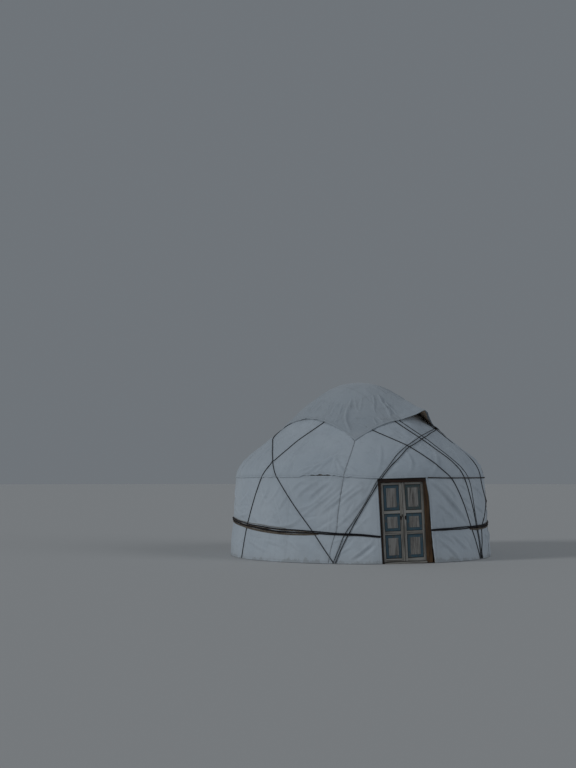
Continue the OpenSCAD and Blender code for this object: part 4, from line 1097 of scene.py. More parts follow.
def build_wall(name, b_edge, b_far, n_c, n_r, sign, nodes, mid, blocks):
    B, S = wall_grid(b_edge, b_far, n_c, S1, S15, n_r, sign)
    off = field(B, S).reshape(B.shape) - 0.0005
    z = z_of(S)
    if name.endswith("front_right"):  # the loose edge beside the door curls outward a little
        d = np.radians(B - right_edge(z_of(S[:, 0]))[:, None]) * 2.4
        off += 0.016 * np.exp(-((d / 0.05) ** 2)) * (1 - step(z, 0.3, 0.95))
        off += 0.004 * np.sin(z * 38) * np.exp(-((d / 0.03) ** 2)) * (1 - step(z, 0.5, 1.0))
    P = place(B, S, off)
    P[..., 2] = np.maximum(P[..., 2], 0.003)
    ed = ["bottom", "top"] + (["left"] if name.endswith("front_right") else []) + (["right"] if name.endswith("front_left") else [])
    o = cloth(name, P, flat_of(B, S, mid), [M_WALL], 0.0022, blocks, marks(B, S, P, ed))
    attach(o, "root")
    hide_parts(*nodes)
    return o


def far(b):
    return lambda z: np.full(np.shape(z), float(b))


q_c, q_r = int(184 / coarse), int(80 / coarse)
pieces = []
pieces.append(build_wall("cover_wall_front_left", left_edge, -96.0, q_c, q_r, -1, ["wall_canvas_front_left"], -50, 2))
pieces.append(build_wall("cover_wall_front_right", right_edge, 96.0, q_c, q_r, 1, ["wall_canvas_front_right"], 50, 2))
b_c, b_r = int(116 / coarse), int(50 / coarse)
pieces.append(build_wall("cover_wall_back_left", far(-96.06), -179.98, b_c, b_r, -1, ["wall_canvas_back_left"], -138, 2))
pieces.append(build_wall("cover_wall_back_right", far(96.06), 179.96, b_c, b_r, 1, ["wall_canvas_back_right"], 138, 2))


# ---------------------------------------------------------------- roof covers
def roof_foot(b):
    """Height of the roof cover's hem: it rides up over the door's lintel."""
    x = np.sin(np.radians(b)) * 2.34
    over = 0.0085 + 0.0279 * (x - 0.02)
    z = 1.45 + np.maximum(over, 0) * (1 - step(np.abs(x - 0.02), 0.455, 0.53)) + 0.003 * np.sin(np.radians(b) * 7) * step(np.abs(b), 14, 30)
    # left of the door it sits a little higher, and at one place the hem has ridden up and shows the felt behind
    z = z + 0.018 * step(-b, 13, 24) * (1 - step(-b, 70, 88))
    for mid, half, up in ((-42.6, 2.3, 0.030), (-39.0, 2.2, 0.044), (-35.6, 2.1, 0.058), (-32.4, 2.0, 0.050), (-29.4, 1.8, 0.034), (-26.4, 1.6, 0.022),
                          (-22.6, 1.4, 0.014), (-58, 2.6, 0.012), (-64, 2.2, 0.010), (141, 2.4, 0.034), (145, 2.5, 0.050), (149, 2.4, 0.044), (153, 2.0, 0.026)):
        z = z + up * np.clip(1 - ((b - mid) / half) ** 2, 0, 1)
    return z


def build_roof(name, b0, b1, n_c, n_r, node, mid, blocks, n_top):
    b = np.linspace(b0, b1, n_c)
    top = float(s_of(roof_z(0.795)))
    turn = float(s_of(2.33))
    u = np.concatenate([np.linspace(0, 1, n_r), 1 + np.arange(1, n_top + 1) / n_top])
    s0 = s_of(roof_foot(wrap(b)))
    S = np.where(u[:, None] <= 1, s0[None, :] + (turn - s0[None, :]) * u[:, None], turn + (top - turn) * (u[:, None] - 1))
    B = np.repeat(b[None, :], len(u), 0)
    off = field(B, S).reshape(B.shape) + 0.0045
    z = z_of(S)
    # the hem stands off the wall a little, in small waves
    hem = 1 - step(S - s0[None, :], 0.0, 0.07)
    lip = 3.0 + 3.0 * waves(wrap(B), S * 0.2, 71, 9, 0.09, 0.3, 0, 10)
    beside = step(np.abs(wrap(B)), 11, 15)
    off += hem * (0.002 + np.maximum(lip, 0) / 1000 * beside)
    over_frame = (1 - beside) * (1 - step(z, 1.47, 1.60))
    off += 0.004 * over_frame
    P = place(B, S, off)
    o = cloth(name, P, flat_of(B, S, mid), [M_ROOF], 0.0022, blocks, marks(B, S, P, ["bottom"]))
    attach(o, "root")
    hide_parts(node)
    return o


build_roof("cover_roof_front", -90, 90, int(312 / coarse), int(70 / coarse), "roof_canvas_front", 0, 3, int(12 / coarse))
build_roof("cover_roof_back", 90.03, 269.97, int(204 / coarse), int(46 / coarse), "roof_canvas_back", 180, 3, int(9 / coarse))

# ---------------------------------------------------------------- felts
def build_felt(name, edge0, edge1, s0, s1, o_out, t, nc, nr, node, turn=0):
    s = np.linspace(s0, s1, nr)
    e0, e1 = edge0(z_of(s))[:, None], edge1(z_of(s))[:, None]
    B = e0 + (e1 - e0) * np.linspace(0, 1, nc)[None, :]
    S = np.repeat(s[:, None], nc, 1)
    off = o_out - 0.0004 + 0.0006 * waves(B, S, 81, 10, 0.2, 0.5) * 0.5
    P = place(B, S, off)
    P[..., 2] = np.maximum(P[..., 2], 0.001)
    o = cloth(name, P, flat_of(B, S, 0), [M_FELT], t, 2, {"hollow": 0 * B}, hem=0.0)
    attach(o, "root")
    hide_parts(node)
    return o


def felt_left(z):
    return door_edge(z, -1, 0.014)


def felt_right(z):
    return door_edge(z, 1, wedge_gap(z) + 0.012)


fc, fr = int(56 / coarse), int(24 / coarse)
# the felts' joints lie beside the covers' joints, so that no light falls through
build_felt("felt_wall_front_left", far(-96.6), felt_left, 0.001, S15, -0.0072, 0.009, fc, fr, "wall_felt_front_left")
build_felt("felt_wall_front_right", felt_right, far(96.6), 0.001, S15, -0.0072, 0.009, fc, fr, "wall_felt_front_right")
build_felt("felt_wall_back_left", far(-180.58), far(-96.64), 0.001, S15, -0.0072, 0.009, fc, fr, "wall_felt_back_left")
build_felt("felt_wall_back_right", far(96.64), far(179.38), 0.001, S15, -0.0072, 0.009, fc, fr, "wall_felt_back_right")
s_f0, s_f1 = float(s_of(1.512)), float(s_of(roof_z(0.80)))
build_felt("felt_roof_front", far(-90.5), far(89.5), s_f0, s_f1, -0.0035, 0.009, int(110 / coarse), int(32 / coarse), "roof_felt_front")
build_felt("felt_roof_back", far(89.53), far(269.47), s_f0, s_f1, -0.0035, 0.009, int(110 / coarse), int(32 / coarse), "roof_felt_back")

# ---------------------------------------------------------------- crown flap
flap_r = smooth_through(RUN, FPA[:, 0])
flap_z = smooth_through(RUN, FPA[:, 1], flat_start=True)


def bump_at(t):
    return np.where((t <= 0) | (t >= 1), 0, np.sin(np.pi * np.clip(t, 0, 1)) ** 2)


def raised(u, v):
    a = np.interp(u, [-0.12, 0, 0.1, 0.2, 0.3, 0.4, 0.5, 0.6, 0.8, 1], [0, 0.29, 0.61, 1, 0.76, 0.48, 0.27, 0.11, 0.05, 0])
    a = a * np.clip((-v - 0.35) / 0.65, 0, None) ** 1.4
    b = np.where(u > 0.35, bump_at((1.02 + v) / 1.6) * np.clip((u - 0.35) / 0.65, 0, None) ** 2 * 0.18, 0)
    return LIFT * np.maximum(a, b)


def flap_base(u, v, off=0.0):
    x, y = u * SIDE / 2, v * SIDE / 2 - SHIFT * (1 - v) / 2
    s = np.hypot(x, y) * (1 - np.where((u > 0) & (v < 0), 0.085, np.where((u < 0) & (v > 0), 0.12, 0)) * u * u * v * v)
    b = np.degrees(np.arctan2(y, x)) + TURN + 135
    h = raised(u, v) + off
    r, z = flap_r(s), flap_z(s)
    d_r, d_z = flap_r(s + 0.04) - flap_r(np.maximum(s - 0.04, 0)), flap_z(s + 0.04) - flap_z(np.maximum(s - 0.04, 0))
    l = np.hypot(d_r, d_z)
    rr, zz = r - h * d_z / l, z + h * d_r / l
    a = np.radians(b)
    return np.stack([rr * np.sin(a), -rr * np.cos(a), zz], -1), b, s


# folds seen on the flap: ([bearing, radius m]..., rise mm, width mm)
FLAP_CREASES = [
    ([[-28, 0.88], [-30, 1.14], [-29, 1.37], [-23, 1.67]], 20, 40), ([[-40, 0.90], [-44, 1.09], [-44, 1.20], [-47, 1.29]], 13, 34),
    ([[-49, 0.89], [-52, 1.04], [-58, 1.17]], 12, 34), ([[9, 0.69], [7, 0.96], [9, 1.12], [7, 1.34]], 13, 34),
    ([[7, 0.96], [14, 1.07], [16, 1.27]], 10, 28), ([[-8, 1.28], [-6, 1.47]], 9, 26), ([[-5, 1.25], [0, 1.42]], 9, 24),
    ([[-25, 1.30], [-19, 1.29], [-12, 1.31]], 11, 26), ([[-24, 1.39], [-19, 1.44], [-14, 1.52]], 10, 24),
    ([[-32, 1.25], [-32, 1.46]], 9, 26), ([[-36, 1.32], [-38, 1.41]], 8, 24),
    ([[-75, 0.75], [-80, 1.0], [-84, 1.25]], 11, 40), ([[-62, 0.80], [-66, 1.0], [-70, 1.2]], 9, 34),
    ([[40, 0.8], [44, 1.0], [52, 1.2], [60, 1.38]], 14, 36), ([[62, 0.85], [70, 1.1], [74, 1.3]], 11, 34),
    ([[-100, 0.8], [-108, 1.2], [-112, 1.6]], 14, 42), ([[-130, 0.75], [-136, 1.05], [-140, 1.3]], 11, 38),
    ([[-160, 0.8], [-166, 1.1], [-160, 1.35]], 12, 38), ([[155, 0.8], [158, 1.2], [158, 1.62]], 16, 40),
    ([[130, 0.8], [126, 1.1], [120, 1.3]], 11, 36), ([[100, 0.85], [96, 1.1], [98, 1.35]], 10, 34),
    ([[170, 1.25], [176, 1.3], [-176, 1.32]], 9, 26), ([[140, 1.3], [147, 1.36], [152, 1.5]], 10, 26),
]


# finer ones fan out from the crown's edge all round
g = np.random.default_rng(61)
for k in range(46):
    b0, r0 = -180 + 360 * (k + g.uniform(-0.35, 0.35)) / 46, g.uniform(0.74, 1.0)
    r1, turned = r0 + g.uniform(0.25, 0.55), g.uniform(-7, 7)
    FLAP_CREASES.append(([[b0, r0], [b0 + 0.4 * turned, 0.5 * (r0 + r1)], [b0 + turned, r1]], g.uniform(4.0, 7.5), g.uniform(20, 27)))


def build_flap():
    n = int(180 / coarse)
    u, v = np.meshgrid(np.linspace(-1, 1, n), np.linspace(-1, 1, n))
    P0, b, s = flap_base(u, v)
    N0 = grid_normals(P0)
    if (N0[n // 2, n // 2] @ [0, 0, 1]) < 0:
        raise RuntimeError("flap faces down")
    flat_p, flat_n = P0.reshape(-1, 3), N0.reshape(-1, 3)
    h = np.zeros(n * n)
    lift = raised(u, v).ravel() * 1000
    r = np.hypot(flat_p[:, 0], flat_p[:, 1])
    for pts, a, w in FLAP_CREASES:
        q = spline(pts, 8)
        zq = flap_z(np.interp(q[:, 1], flap_r(np.linspace(0, 2.4, 300)), np.linspace(0, 2.4, 300)))
        A = np.radians(q[:, 0])
        L = np.stack([q[:, 1] * np.sin(A), -q[:, 1] * np.cos(A), zq], 1)
        total = np.linalg.norm(np.diff(L, axis=0), axis=1).sum()
        w_ = w / 1000
        d, side, al = nearest(flat_p, flat_n, L, reach=w_ * 4.5)
        hit = d < 4.2 * w_
        t = al[hit] / total
        ends = step(t, 0, 0.3) * step(1 - t, 0, 0.3)
        x = d[hit] * side[hit]
        h[hit] += 1.9 * a * ends * (np.exp(-np.abs(x / w_) ** 1.5) - 0.5 * np.exp(-(((x + 1.7 * w_) / (1.2 * w_)) ** 2)))
    bb, ss = b.ravel(), s.ravel()
    uu, vv = u.ravel(), v.ravel()
    edge = np.minimum(1 - np.abs(uu), 1 - np.abs(vv)) * SIDE / 2  # distance in from the nearest edge
    away = step(r, 0.15, 0.7)
    # broad sags between the arched bars and out to the corners, then smaller crumples
    h += away * (4.0 * waves(bb, ss, 101, 10, 0.6, 1.4) + 2.2 * waves(bb, ss, 102, 12, 0.22, 0.5, 10, 170))
    wb, ws = bb + 2.0 * waves(bb, ss, 105, 7, 0.4, 0.9), ss + 0.03 * waves(bb, ss, 106, 7, 0.4, 0.9)
    n3 = waves(wb, ws, 103, 12, 0.18, 0.42, 50, 130)
    patch = 0.3 + 0.7 * step(waves(bb, ss, 109, 8, 0.5, 1.2), -0.4, 0.9)
    h += away * patch * (2.6 * (np.exp(-((n3 / 0.25) ** 2)) - 0.3) + 0.8 * waves(wb, ws, 104, 14, 0.09, 0.18, 10, 170))
    # the edges lie in shallow waves and turn up here and there
    e = np.exp(-((edge / 0.10) ** 2))
    h += e * (3.0 + 4.5 * np.maximum(waves(uu * 57.3 * 0.6, vv * 1.5, 111, 8, 0.3, 0.6), -0.4))
    h += np.exp(-((edge / 0.05) ** 2)) * 1.5
    # ropes run out from under it
    for L in lines:
        d, _, _ = nearest(flat_p, flat_n, place(L.b[:26], L.s[:26], 0.02), reach=0.3)
        h += 9 * np.exp(-((d / 0.045) ** 2)) * (1 - step(edge, 0.2, 0.5)) * (lift < 30)
    # the lifted corner is creased hard across and along
    k = np.clip(lift / LIFT / 1000, 0, 1)
    h += k * (6 * waves(uu * 40, vv * 1.5, 121, 10, 0.2, 0.5) + 1.5 * waves(uu * 40, vv * 1.5, 122, 10, 0.1, 0.2))
    low = np.where(lift > 10, 6.0, 1.5)
    h = np.where(h > 0, h, -low * np.tanh(-h / low))
    P = (flat_p + flat_n * (h / 1000)[:, None]).reshape(n, n, 3)
    hem = 1 - step(edge, 0.055, 0.066)
    stitch = np.exp(-(((edge - 0.052) / 0.008) ** 2)) + 0.8 * np.exp(-(((edge - 0.010) / 0.007) ** 2))
    half = np.minimum(np.abs(uu + 0.335), np.abs(uu - 0.34)) * SIDE / 2  # the sheet is sewn from three widths
    hem = np.maximum(hem, 0.8 * (1 - step(half, 0.012, 0.022)))
    stitch = np.maximum(np.clip(stitch, 0, 1), 0.7 * np.exp(-(((half - 0.011) / 0.007) ** 2)))
    pts = {"hollow": cavity(P), "hem": hem.reshape(n, n), "stitch": stitch.reshape(n, n)}
    o = cloth("cover_crown_flap", P, np.stack([u * SIDE / 2, v * SIDE / 2], -1), [M_FLAP], 0.003, 1, pts, hem=0.0015)
    # the underside away from its edges is a brown lining, brightened: painted light for the glow through the cloth from
    # behind
    me = o.data
    me.materials.append(M_UNDER)
    slots = np.zeros(len(me.polygons), np.int32)
    q = (n - 1) * (n - 1)
    far_in = edge.reshape(n, n)
    far_in = (far_in[:-1, :-1] + far_in[1:, 1:]) / 2 + 0.008 * np.sin(uu.reshape(n, n)[:-1, :-1] * 9 + vv.reshape(n, n)[:-1, :-1] * 7)
    slots[q : 2 * q] = (far_in > 0.078).ravel()
    me.polygons.foreach_set("material_index", slots)
    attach(o, "root")
    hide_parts("crown_flap")
    return o


build_flap()


# ---------------------------------------------------------------- ropes
def resampled(b, s, off, gap):
    p = place(b, s, off)
    run = np.concatenate([[0], np.cumsum(np.linalg.norm(np.diff(p, axis=0), axis=1))])
    n = max(4, int(run[-1] / gap))
    q = np.linspace(0, run[-1], n)
    return np.interp(q, run, b), np.interp(q, run, s), np.interp(q, run, off), q


def smoothed(x, k):
    for _ in range(k):
        x = np.concatenate([[x[0]], (x[:-2] + 2 * x[1:-1] + x[2:]) / 4, [x[-1]]])
    return x


def lies(b, s, r, n_smooth, gap):
    """Height of a taut line's middle over the covers: it touches the high places."""
    w = np.maximum(field(b, s), 0)
    roofness = step(z_of(s), 1.42, 1.52)
    base = w + 0.005 * roofness
    hi = base.copy()
    span = max(1, int(0.09 / gap))
    for _ in range(span):
        hi = np.maximum(hi, np.concatenate([[hi[0]], hi[:-1]]) * 0.97)
        hi = np.maximum(hi, np.concatenate([hi[1:], [hi[-1]]]) * 0.97)
    return np.maximum(smoothed(hi, n_smooth), base) + r - 0.0006


laid = []  # (bearings, distances, heights of the middle, radius) of what is laid so far, to pass over


def rope_path(L, gap, over):
    b, s, _, run = resampled(L.b, L.s, 0 * L.b, gap)
    h = lies(wrap(b), s, L.r, 30, gap)
    P = place(b, s)
    for ob, os_, oh, orad in laid:
        Q = place(ob, os_)
        d2 = ((P[:, None, :] - Q[None, :, :]) ** 2).sum(2)
        j = d2.argmin(1)
        d = np.sqrt(d2[np.arange(len(P)), j])
        need = oh[j] + orad + L.r + 0.0005
        h = np.maximum(h, np.where(d < 0.10, h + (need - h) * np.exp(-((d / 0.032) ** 2)), h))
    if over:
        laid.append((b[::2], s[::2], h[::2], L.r))
    return b, s, h, P


def door_clear(b, s, h, r):
    """Keeps a line in front of the door frame's face and edges."""
    P = place(b, s, h)
    U = (P - DOOR_AT) @ LEAN
    inside = (np.abs(U[:, 0]) < 0.435 + r + 0.01) & (U[:, 2] < 1.455 + r + 0.01)
    need = np.where(inside, -U[:, 1], 0)  # how far it stands in front of the face
    short = np.where(inside, np.maximum(r + 0.002 - need, 0), 0)
    return h + smoothed(short, 2)


rope_gap = 0.0095 * coarse
bundle_f, bundle_b = Bundle(), Bundle()
order = ["b", "a", "d1", "e1", "e2", "f", "g", "c1", "c2"]
by_name = {L.name: L for L in lines}
rope_runs = []
for name in order:
    L = by_name[name]
    b, s, h, P = rope_path(L, rope_gap, True)
    h = door_clear(b, s, h, L.r)
    s = np.maximum(s, L.r + 0.003)
    path = place(b, s, h)
    rope_runs.append((b, s, h))
    bundle_f.tube(path, L.r, sides=9, lobes=3, pitch=0.066, depth=0.20, up=out_of(b, s), mat=0)
for L in lines:
    if L.name.endswith("_back"):
        b, s, h, P = rope_path(L, rope_gap, True)
        s = np.maximum(s, L.r + 0.003)
        bundle_b.tube(place(b, s, h), L.r, sides=9, lobes=3, pitch=0.066, depth=0.20, up=out_of(b, s), mat=0)
for L in ties:
    b, s, h, P = rope_path(L, rope_gap * 1.3, True)
    s = np.maximum(s, L.r + 0.003)
    (bundle_f if L.name in ("tie_0", "tie_90") else bundle_b).tube(
        place(b, s, h), L.r, sides=6, lobes=2, pitch=0.035, depth=0.2, up=out_of(b, s), mat=2)
for L in eaves:
    b, s, h, P = rope_path(L, rope_gap * 1.2, False)
    (bundle_f if L.name == "eave_front" else bundle_b).tube(
        place(b, s, h), L.r, sides=8, lobes=2, pitch=0.06, depth=0.22, up=out_of(b, s), mat=1)
for bd, nm, node in ((bundle_f, "hair_ropes_front", "ropes_front"), (bundle_b, "hair_ropes_back", "ropes_back")):
    o = bd.done(nm, [M_ROPE, M_ROPE_B, M_CORD])
    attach(o, "root")
    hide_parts(node)


# ---------------------------------------------------------------- belt: woven bands side by side with a rope among them
def belt_run(st, seed, name, node):
    w = spline(st, 24)
    b, z, hb = w[:, 0], w[:, 1] / 1000, w[:, 2] / 1000
    bd = Bundle()
    gap = 0.019 * coarse
    g = np.random.default_rng(seed)
    # (place across the belt, breadth share, thickness, material, lift, bearing from the door where it comes out of the others)
    strands = [(-0.35, 0.34, 0.0045, 1, 0.0, 33), (-0.03, 0.24, 0.0055, 0, 0.001, 0), (0.36, None, 0.0122, 3, 0.001, 0),
               (0.18, None, 0.0055, 4, 0.0, 31), (0.56, None, 0.0048, 4, 0.0, 44), (0.05, None, 0.0070, 3, 0.004, 0), (-0.12, None, 0.0058, 2, 0.004, 0)]
    for i, (at, br, th, mat, lift, out) in enumerate(strands):
        wob = 0.004 * np.sin(np.radians(b) * (5 + i) + seed + i * 2) + 0.002 * np.sin(np.radians(b) * (17 + 3 * i) + i)
        free = step(np.abs(b), out, out + 9) if out else np.ones(len(b))  # nearer the door the outer strands go in among the rest
        zz = z + (at * (0.25 + 0.75 * free)) * hb + wob * np.clip(hb / 0.08, 0.3, 1)
        s = s_of(zz)
        bb, ss, sunk, run = resampled(b, s, 0.009 * (1 - free), gap)
        # dense cover under it, then over every rope it crosses
        hh = np.maximum(field(wrap(bb), ss), 0) + 0.0008
        P = place(bb, ss)
        for ob, os_, oh, orad in laid:
            Q = place(ob, os_)
            if np.abs(Q[:, 2] - 0.6).min() > 0.3:
                continue
            keep = np.abs(Q[:, 2] - 0.6) < 0.3
            Q, ohk = Q[keep], oh[keep]
            d2 = ((P[:, None, :] - Q[None, :, :]) ** 2).sum(2)
            j = d2.argmin(1)
            d = np.sqrt(d2[np.arange(len(P)), j])
            need = ohk[j] + orad + 0.0004
            hh = np.maximum(hh, np.where(d < 0.12, hh + (need - hh) * np.exp(-((d / 0.036) ** 2)), hh))
        hh = smoothed(hh, 2)
        wide = np.interp(bb, b if b[0] < b[-1] else b[::-1], hb if b[0] < b[-1] else hb[::-1])
        keep = np.abs(bb) > out - 3
        bb, ss, hh, wide, sunk = bb[keep], ss[keep], hh[keep], wide[keep], sunk[keep]
        if br is None:
            h = hh + lift + th - sunk
            bd.tube(place(bb, ss, h), th, sides=8, lobes=3, pitch=0.06, depth=0.25, up=out_of(bb, ss), mat=mat)
        else:
            brd = np.clip(wide * br, 0.014, 0.050)
            h = hh + lift + th / 2 - sunk
            bd.tube(place(bb, ss, h), th / 2, sides=10, up=out_of(bb, ss), flat=(brd, th), mat=mat)
    if st[0][0] < -170:
        # lashed to the other length behind
        for k in range(5):
            bb = np.full(17, -179.2 - 0.34 * k) + np.linspace(-0.1, 0.1, 17) * (-1) ** k
            ss = s_of(0.660 + np.linspace(-0.036, 0.036, 17))
            h = np.maximum(field(wrap(bb), ss), 0) + 0.004 + 0.019 * np.sqrt(1 - np.linspace(-0.98, 0.98, 17) ** 2)
            bd.tube(place(bb, ss, h), 0.0042, sides=6, up=out_of(bb, ss), mat=3)
    o = bd.done(name, [M_BAND, M_BAND_T, M_ROPE_B, M_ROPE_N, M_CORD_T, M_CORD])
    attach(o, "root")
    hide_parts(node)
    return o


belt_run(BELT_L[::-1], 3, "woven_belt_left", "belt_left")
belt_run(BELT_R, 8, "woven_belt_right", "belt_right")

# ---------------------------------------------------------------- lattice: two layers of slats, tied where they cross
GAPB, QUART, STEPS = 12.9, (180 - 12.9) / 2, 18
LAT_Z0, LAT_DZ, ROWS = 0.022, 0.200, 7
ztop = LAT_Z0 + ROWS * LAT_DZ + 0.012


def lat_b(q, i):
    b0 = {0: -GAPB, 1: -GAPB - QUART, 2: 180.0, 3: GAPB + QUART}[q]
    return b0 - 0.5 - i * (QUART - 1) / STEPS


def build_lattice(q, name, node):
    bd = Bundle()
    dz_half = LAT_DZ
    for layer, dirn in ((0, 1), (1, -1)):
        off = -0.0405 if layer == 0 else -0.0493
        for m2 in range(-ROWS * 2, STEPS * 2 + 1):  # half steps
            m = m2 / 2
            # a slat climbs one step for each row
            k0, k1 = (0.0, float(ROWS))
            i0 = m if dirn > 0 else m + ROWS
            # clip to the panel
            t = np.linspace(0, ROWS, 15)
            i = i0 + dirn * t
            ok = (i >= 0.0) & (i <= STEPS)
            if ok.sum() < 2:
                continue
            lo_t = max(0.0, (0 - i0) / dirn if dirn > 0 else (STEPS - i0) / dirn)
            hi_t = min(float(ROWS), (STEPS - i0) / dirn if dirn > 0 else (0 - i0) / dirn)
            if hi_t - lo_t < 0.35:
                continue
            t = np.linspace(lo_t, hi_t, max(3, int((hi_t - lo_t) * 1.5 / coarse) + 2))
            i = i0 + dirn * t
            b = np.array([lat_b(q, x) for x in i])
            z = LAT_Z0 + t * LAT_DZ
            s = s_of(z)
            up = out_of(b, s)
            bd.tube(place(b, s, off), 0.005, sides=8, up=up, flat=(0.026, 0.0085), mat=0)
    # thongs
    for k in range(0, ROWS * 2 + 1):
        for i2 in range(0, STEPS * 2 + 1):
            if (i2 + k) % 2:
                continue
            b, z = lat_b(q, i2 / 2), LAT_Z0 + k / 2 * LAT_DZ
            if z < 0.01:
                continue
            c = place(b, s_of(z), -0.0365)
            n = out_of(b, s_of(z))
            up3 = np.array([0, 0, 1.0])
            t1 = np.cross(up3, n)
            t1 /= np.linalg.norm(t1)
            t2 = np.cross(n, t1)
            a = np.linspace(0, 2 * np.pi, 6, endpoint=False)
            r0, r1 = 0.006, 0.0035
            ring0 = c + np.outer(np.cos(a), t1) * r0 + np.outer(np.sin(a), t2) * r0
            ring1 = c + n * 0.0018 + np.outer(np.cos(a), t1) * r1 + np.outer(np.sin(a), t2) * r1
            ring_in = c - n * 0.0175 + np.outer(np.cos(a), t1) * r0 + np.outer(np.sin(a), t2) * r0
            ring_i2 = c - n * 0.0193 + np.outer(np.cos(a), t1) * r1 + np.outer(np.sin(a), t2) * r1
            co = np.concatenate([ring_i2, ring_in, ring0, ring1])
            kk = np.arange(24).reshape(4, 6)
            qd = np.stack([kk[:-1], np.roll(kk, -1, 1)[:-1], np.roll(kk, -1, 1)[1:], kk[1:]], -1).reshape(-1, 4)
            caps = [[kk[0][0], kk[0][5], kk[0][4], kk[0][1]], [kk[0][1], kk[0][4], kk[0][3], kk[0][2]],
                    [kk[3][0], kk[3][1], kk[3][4], kk[3][5]], [kk[3][1], kk[3][2], kk[3][3], kk[3][4]]]
            bd.solid(co, np.concatenate([qd, caps]), mat=1)
    o = bd.done(name, [M_SLAT, M_THONG])
    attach(o, "root")
    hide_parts(node)
    return o


for q, nm in enumerate(("front_left", "back_left", "back_right", "front_right")):
    build_lattice(q, "slats_" + nm, "lattice_" + nm)

# ---------------------------------------------------------------- roof poles
POLE_H = [[1400, -74], [1500, -66], [1600, -52], [1700, -44], [1820, -40], [1960, -40], [2940, -50]]
POLE_D = [[1490, -58], [1560, -52], [1640, -46], [1740, -42], [1840, -40], [1960, -40], [2940, -50]]


def add_pole(bd, b, h, seed):
    w = np.array(h, float) / 1000
    z = np.concatenate([np.linspace(w[0, 0], 1.96, 12), np.linspace(1.96, w[-1, 0], 8)[1:]])
    off = smooth_through(w[:, 0], w[:, 1])(z)
    s = s_of(z)
    bb = np.full(len(z), float(b))
    g = np.random.default_rng(seed)
    bend = 0.0012 * np.sin(s * g.uniform(2, 4) + g.uniform(0, 6))
    side = np.stack([np.cos(np.radians(bb)), np.sin(np.radians(bb)), 0 * bb], -1)
    path = place(bb, s, off) + side * bend[:, None]
    rad = 0.0138 * np.interp(np.arange(len(z)), [0, 2, len(z) - 3, len(z) - 1], [0.86, 1.0, 0.98, 0.70])
    bd.tube(path, rad, sides=12, up=side, mat=0)
    # a lashing round the foot
    for k in range(3):
        c = place(b, s_of(1.425 + 0.011 * k if h is POLE_H else 1.512 + 0.011 * k), float(np.interp(1.43, w[:, 0], w[:, 1])) if h is POLE_H else -0.0565)
        a = np.linspace(0, 2 * np.pi, 14, endpoint=True)
        up = out_of(b, s_of(1.43))
        ring = c + np.outer(np.cos(a), side[0]) * 0.0162 + np.outer(np.sin(a), up) * 0.0162
        axis = np.tile(np.cross(side[0], up), (len(a), 1))
        bd.tube(ring, 0.0028, sides=6, up=axis, mat=1)


def pole_set(name, node, bs, doors=()):
    bd = Bundle()
    for i, b in enumerate(bs):
        add_pole(bd, b, POLE_H, 300 + i)
    for i, b in enumerate(doors):
        add_pole(bd, b, POLE_D, 380 + i)
    o = bd.done(name, [M_POLE, M_THONG])
    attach(o, "root")
    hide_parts(node)


pole_set("poles_left", "roof_poles_left", [lat_b(0, i) for i in range(5, STEPS, 2)] + [lat_b(1, i) for i in range(1, 6, 2)])
pole_set("poles_back", "roof_poles_back", [lat_b(1, i) for i in range(7, STEPS, 2)] + [lat_b(2, i) for i in range(1, 12, 2)])
pole_set("poles_right", "roof_poles_right", [lat_b(2, i) for i in range(13, STEPS, 2)] + [lat_b(3, i) for i in range(1, STEPS - 4, 2)])
pole_set("poles_door", "roof_poles_door", [lat_b(3, i) for i in range(STEPS - 3, STEPS, 2)] + [lat_b(0, i) for i in (1, 3)],
         [-8.6 + 4.3 * k for k in range(5)])

for n in ("crown_ring", "crown_bars_lengthwise", "crown_bars_crosswise"):
    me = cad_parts[n].data
    me.materials.clear()
    me.materials.append(M_CROWN)
for n in ("jamb_hinge_pins", "left_leaf_hinges", "right_leaf_hinges", "left_door_ring", "right_door_ring"):
    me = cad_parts[n].data
    me.materials.clear()
    me.materials.append(M_IRON)

# ---------------------------------------------------------------- door frame
HALF_W, INNER, STOP_D, STOP_W, FRAME_H, LINT, FRAME_D = 0.435, 0.401, 0.024, 0.009, 1.455, 0.055, 0.070
LY, LT, Z0, Z1 = 0.029, 0.034, 0.040, 1.394


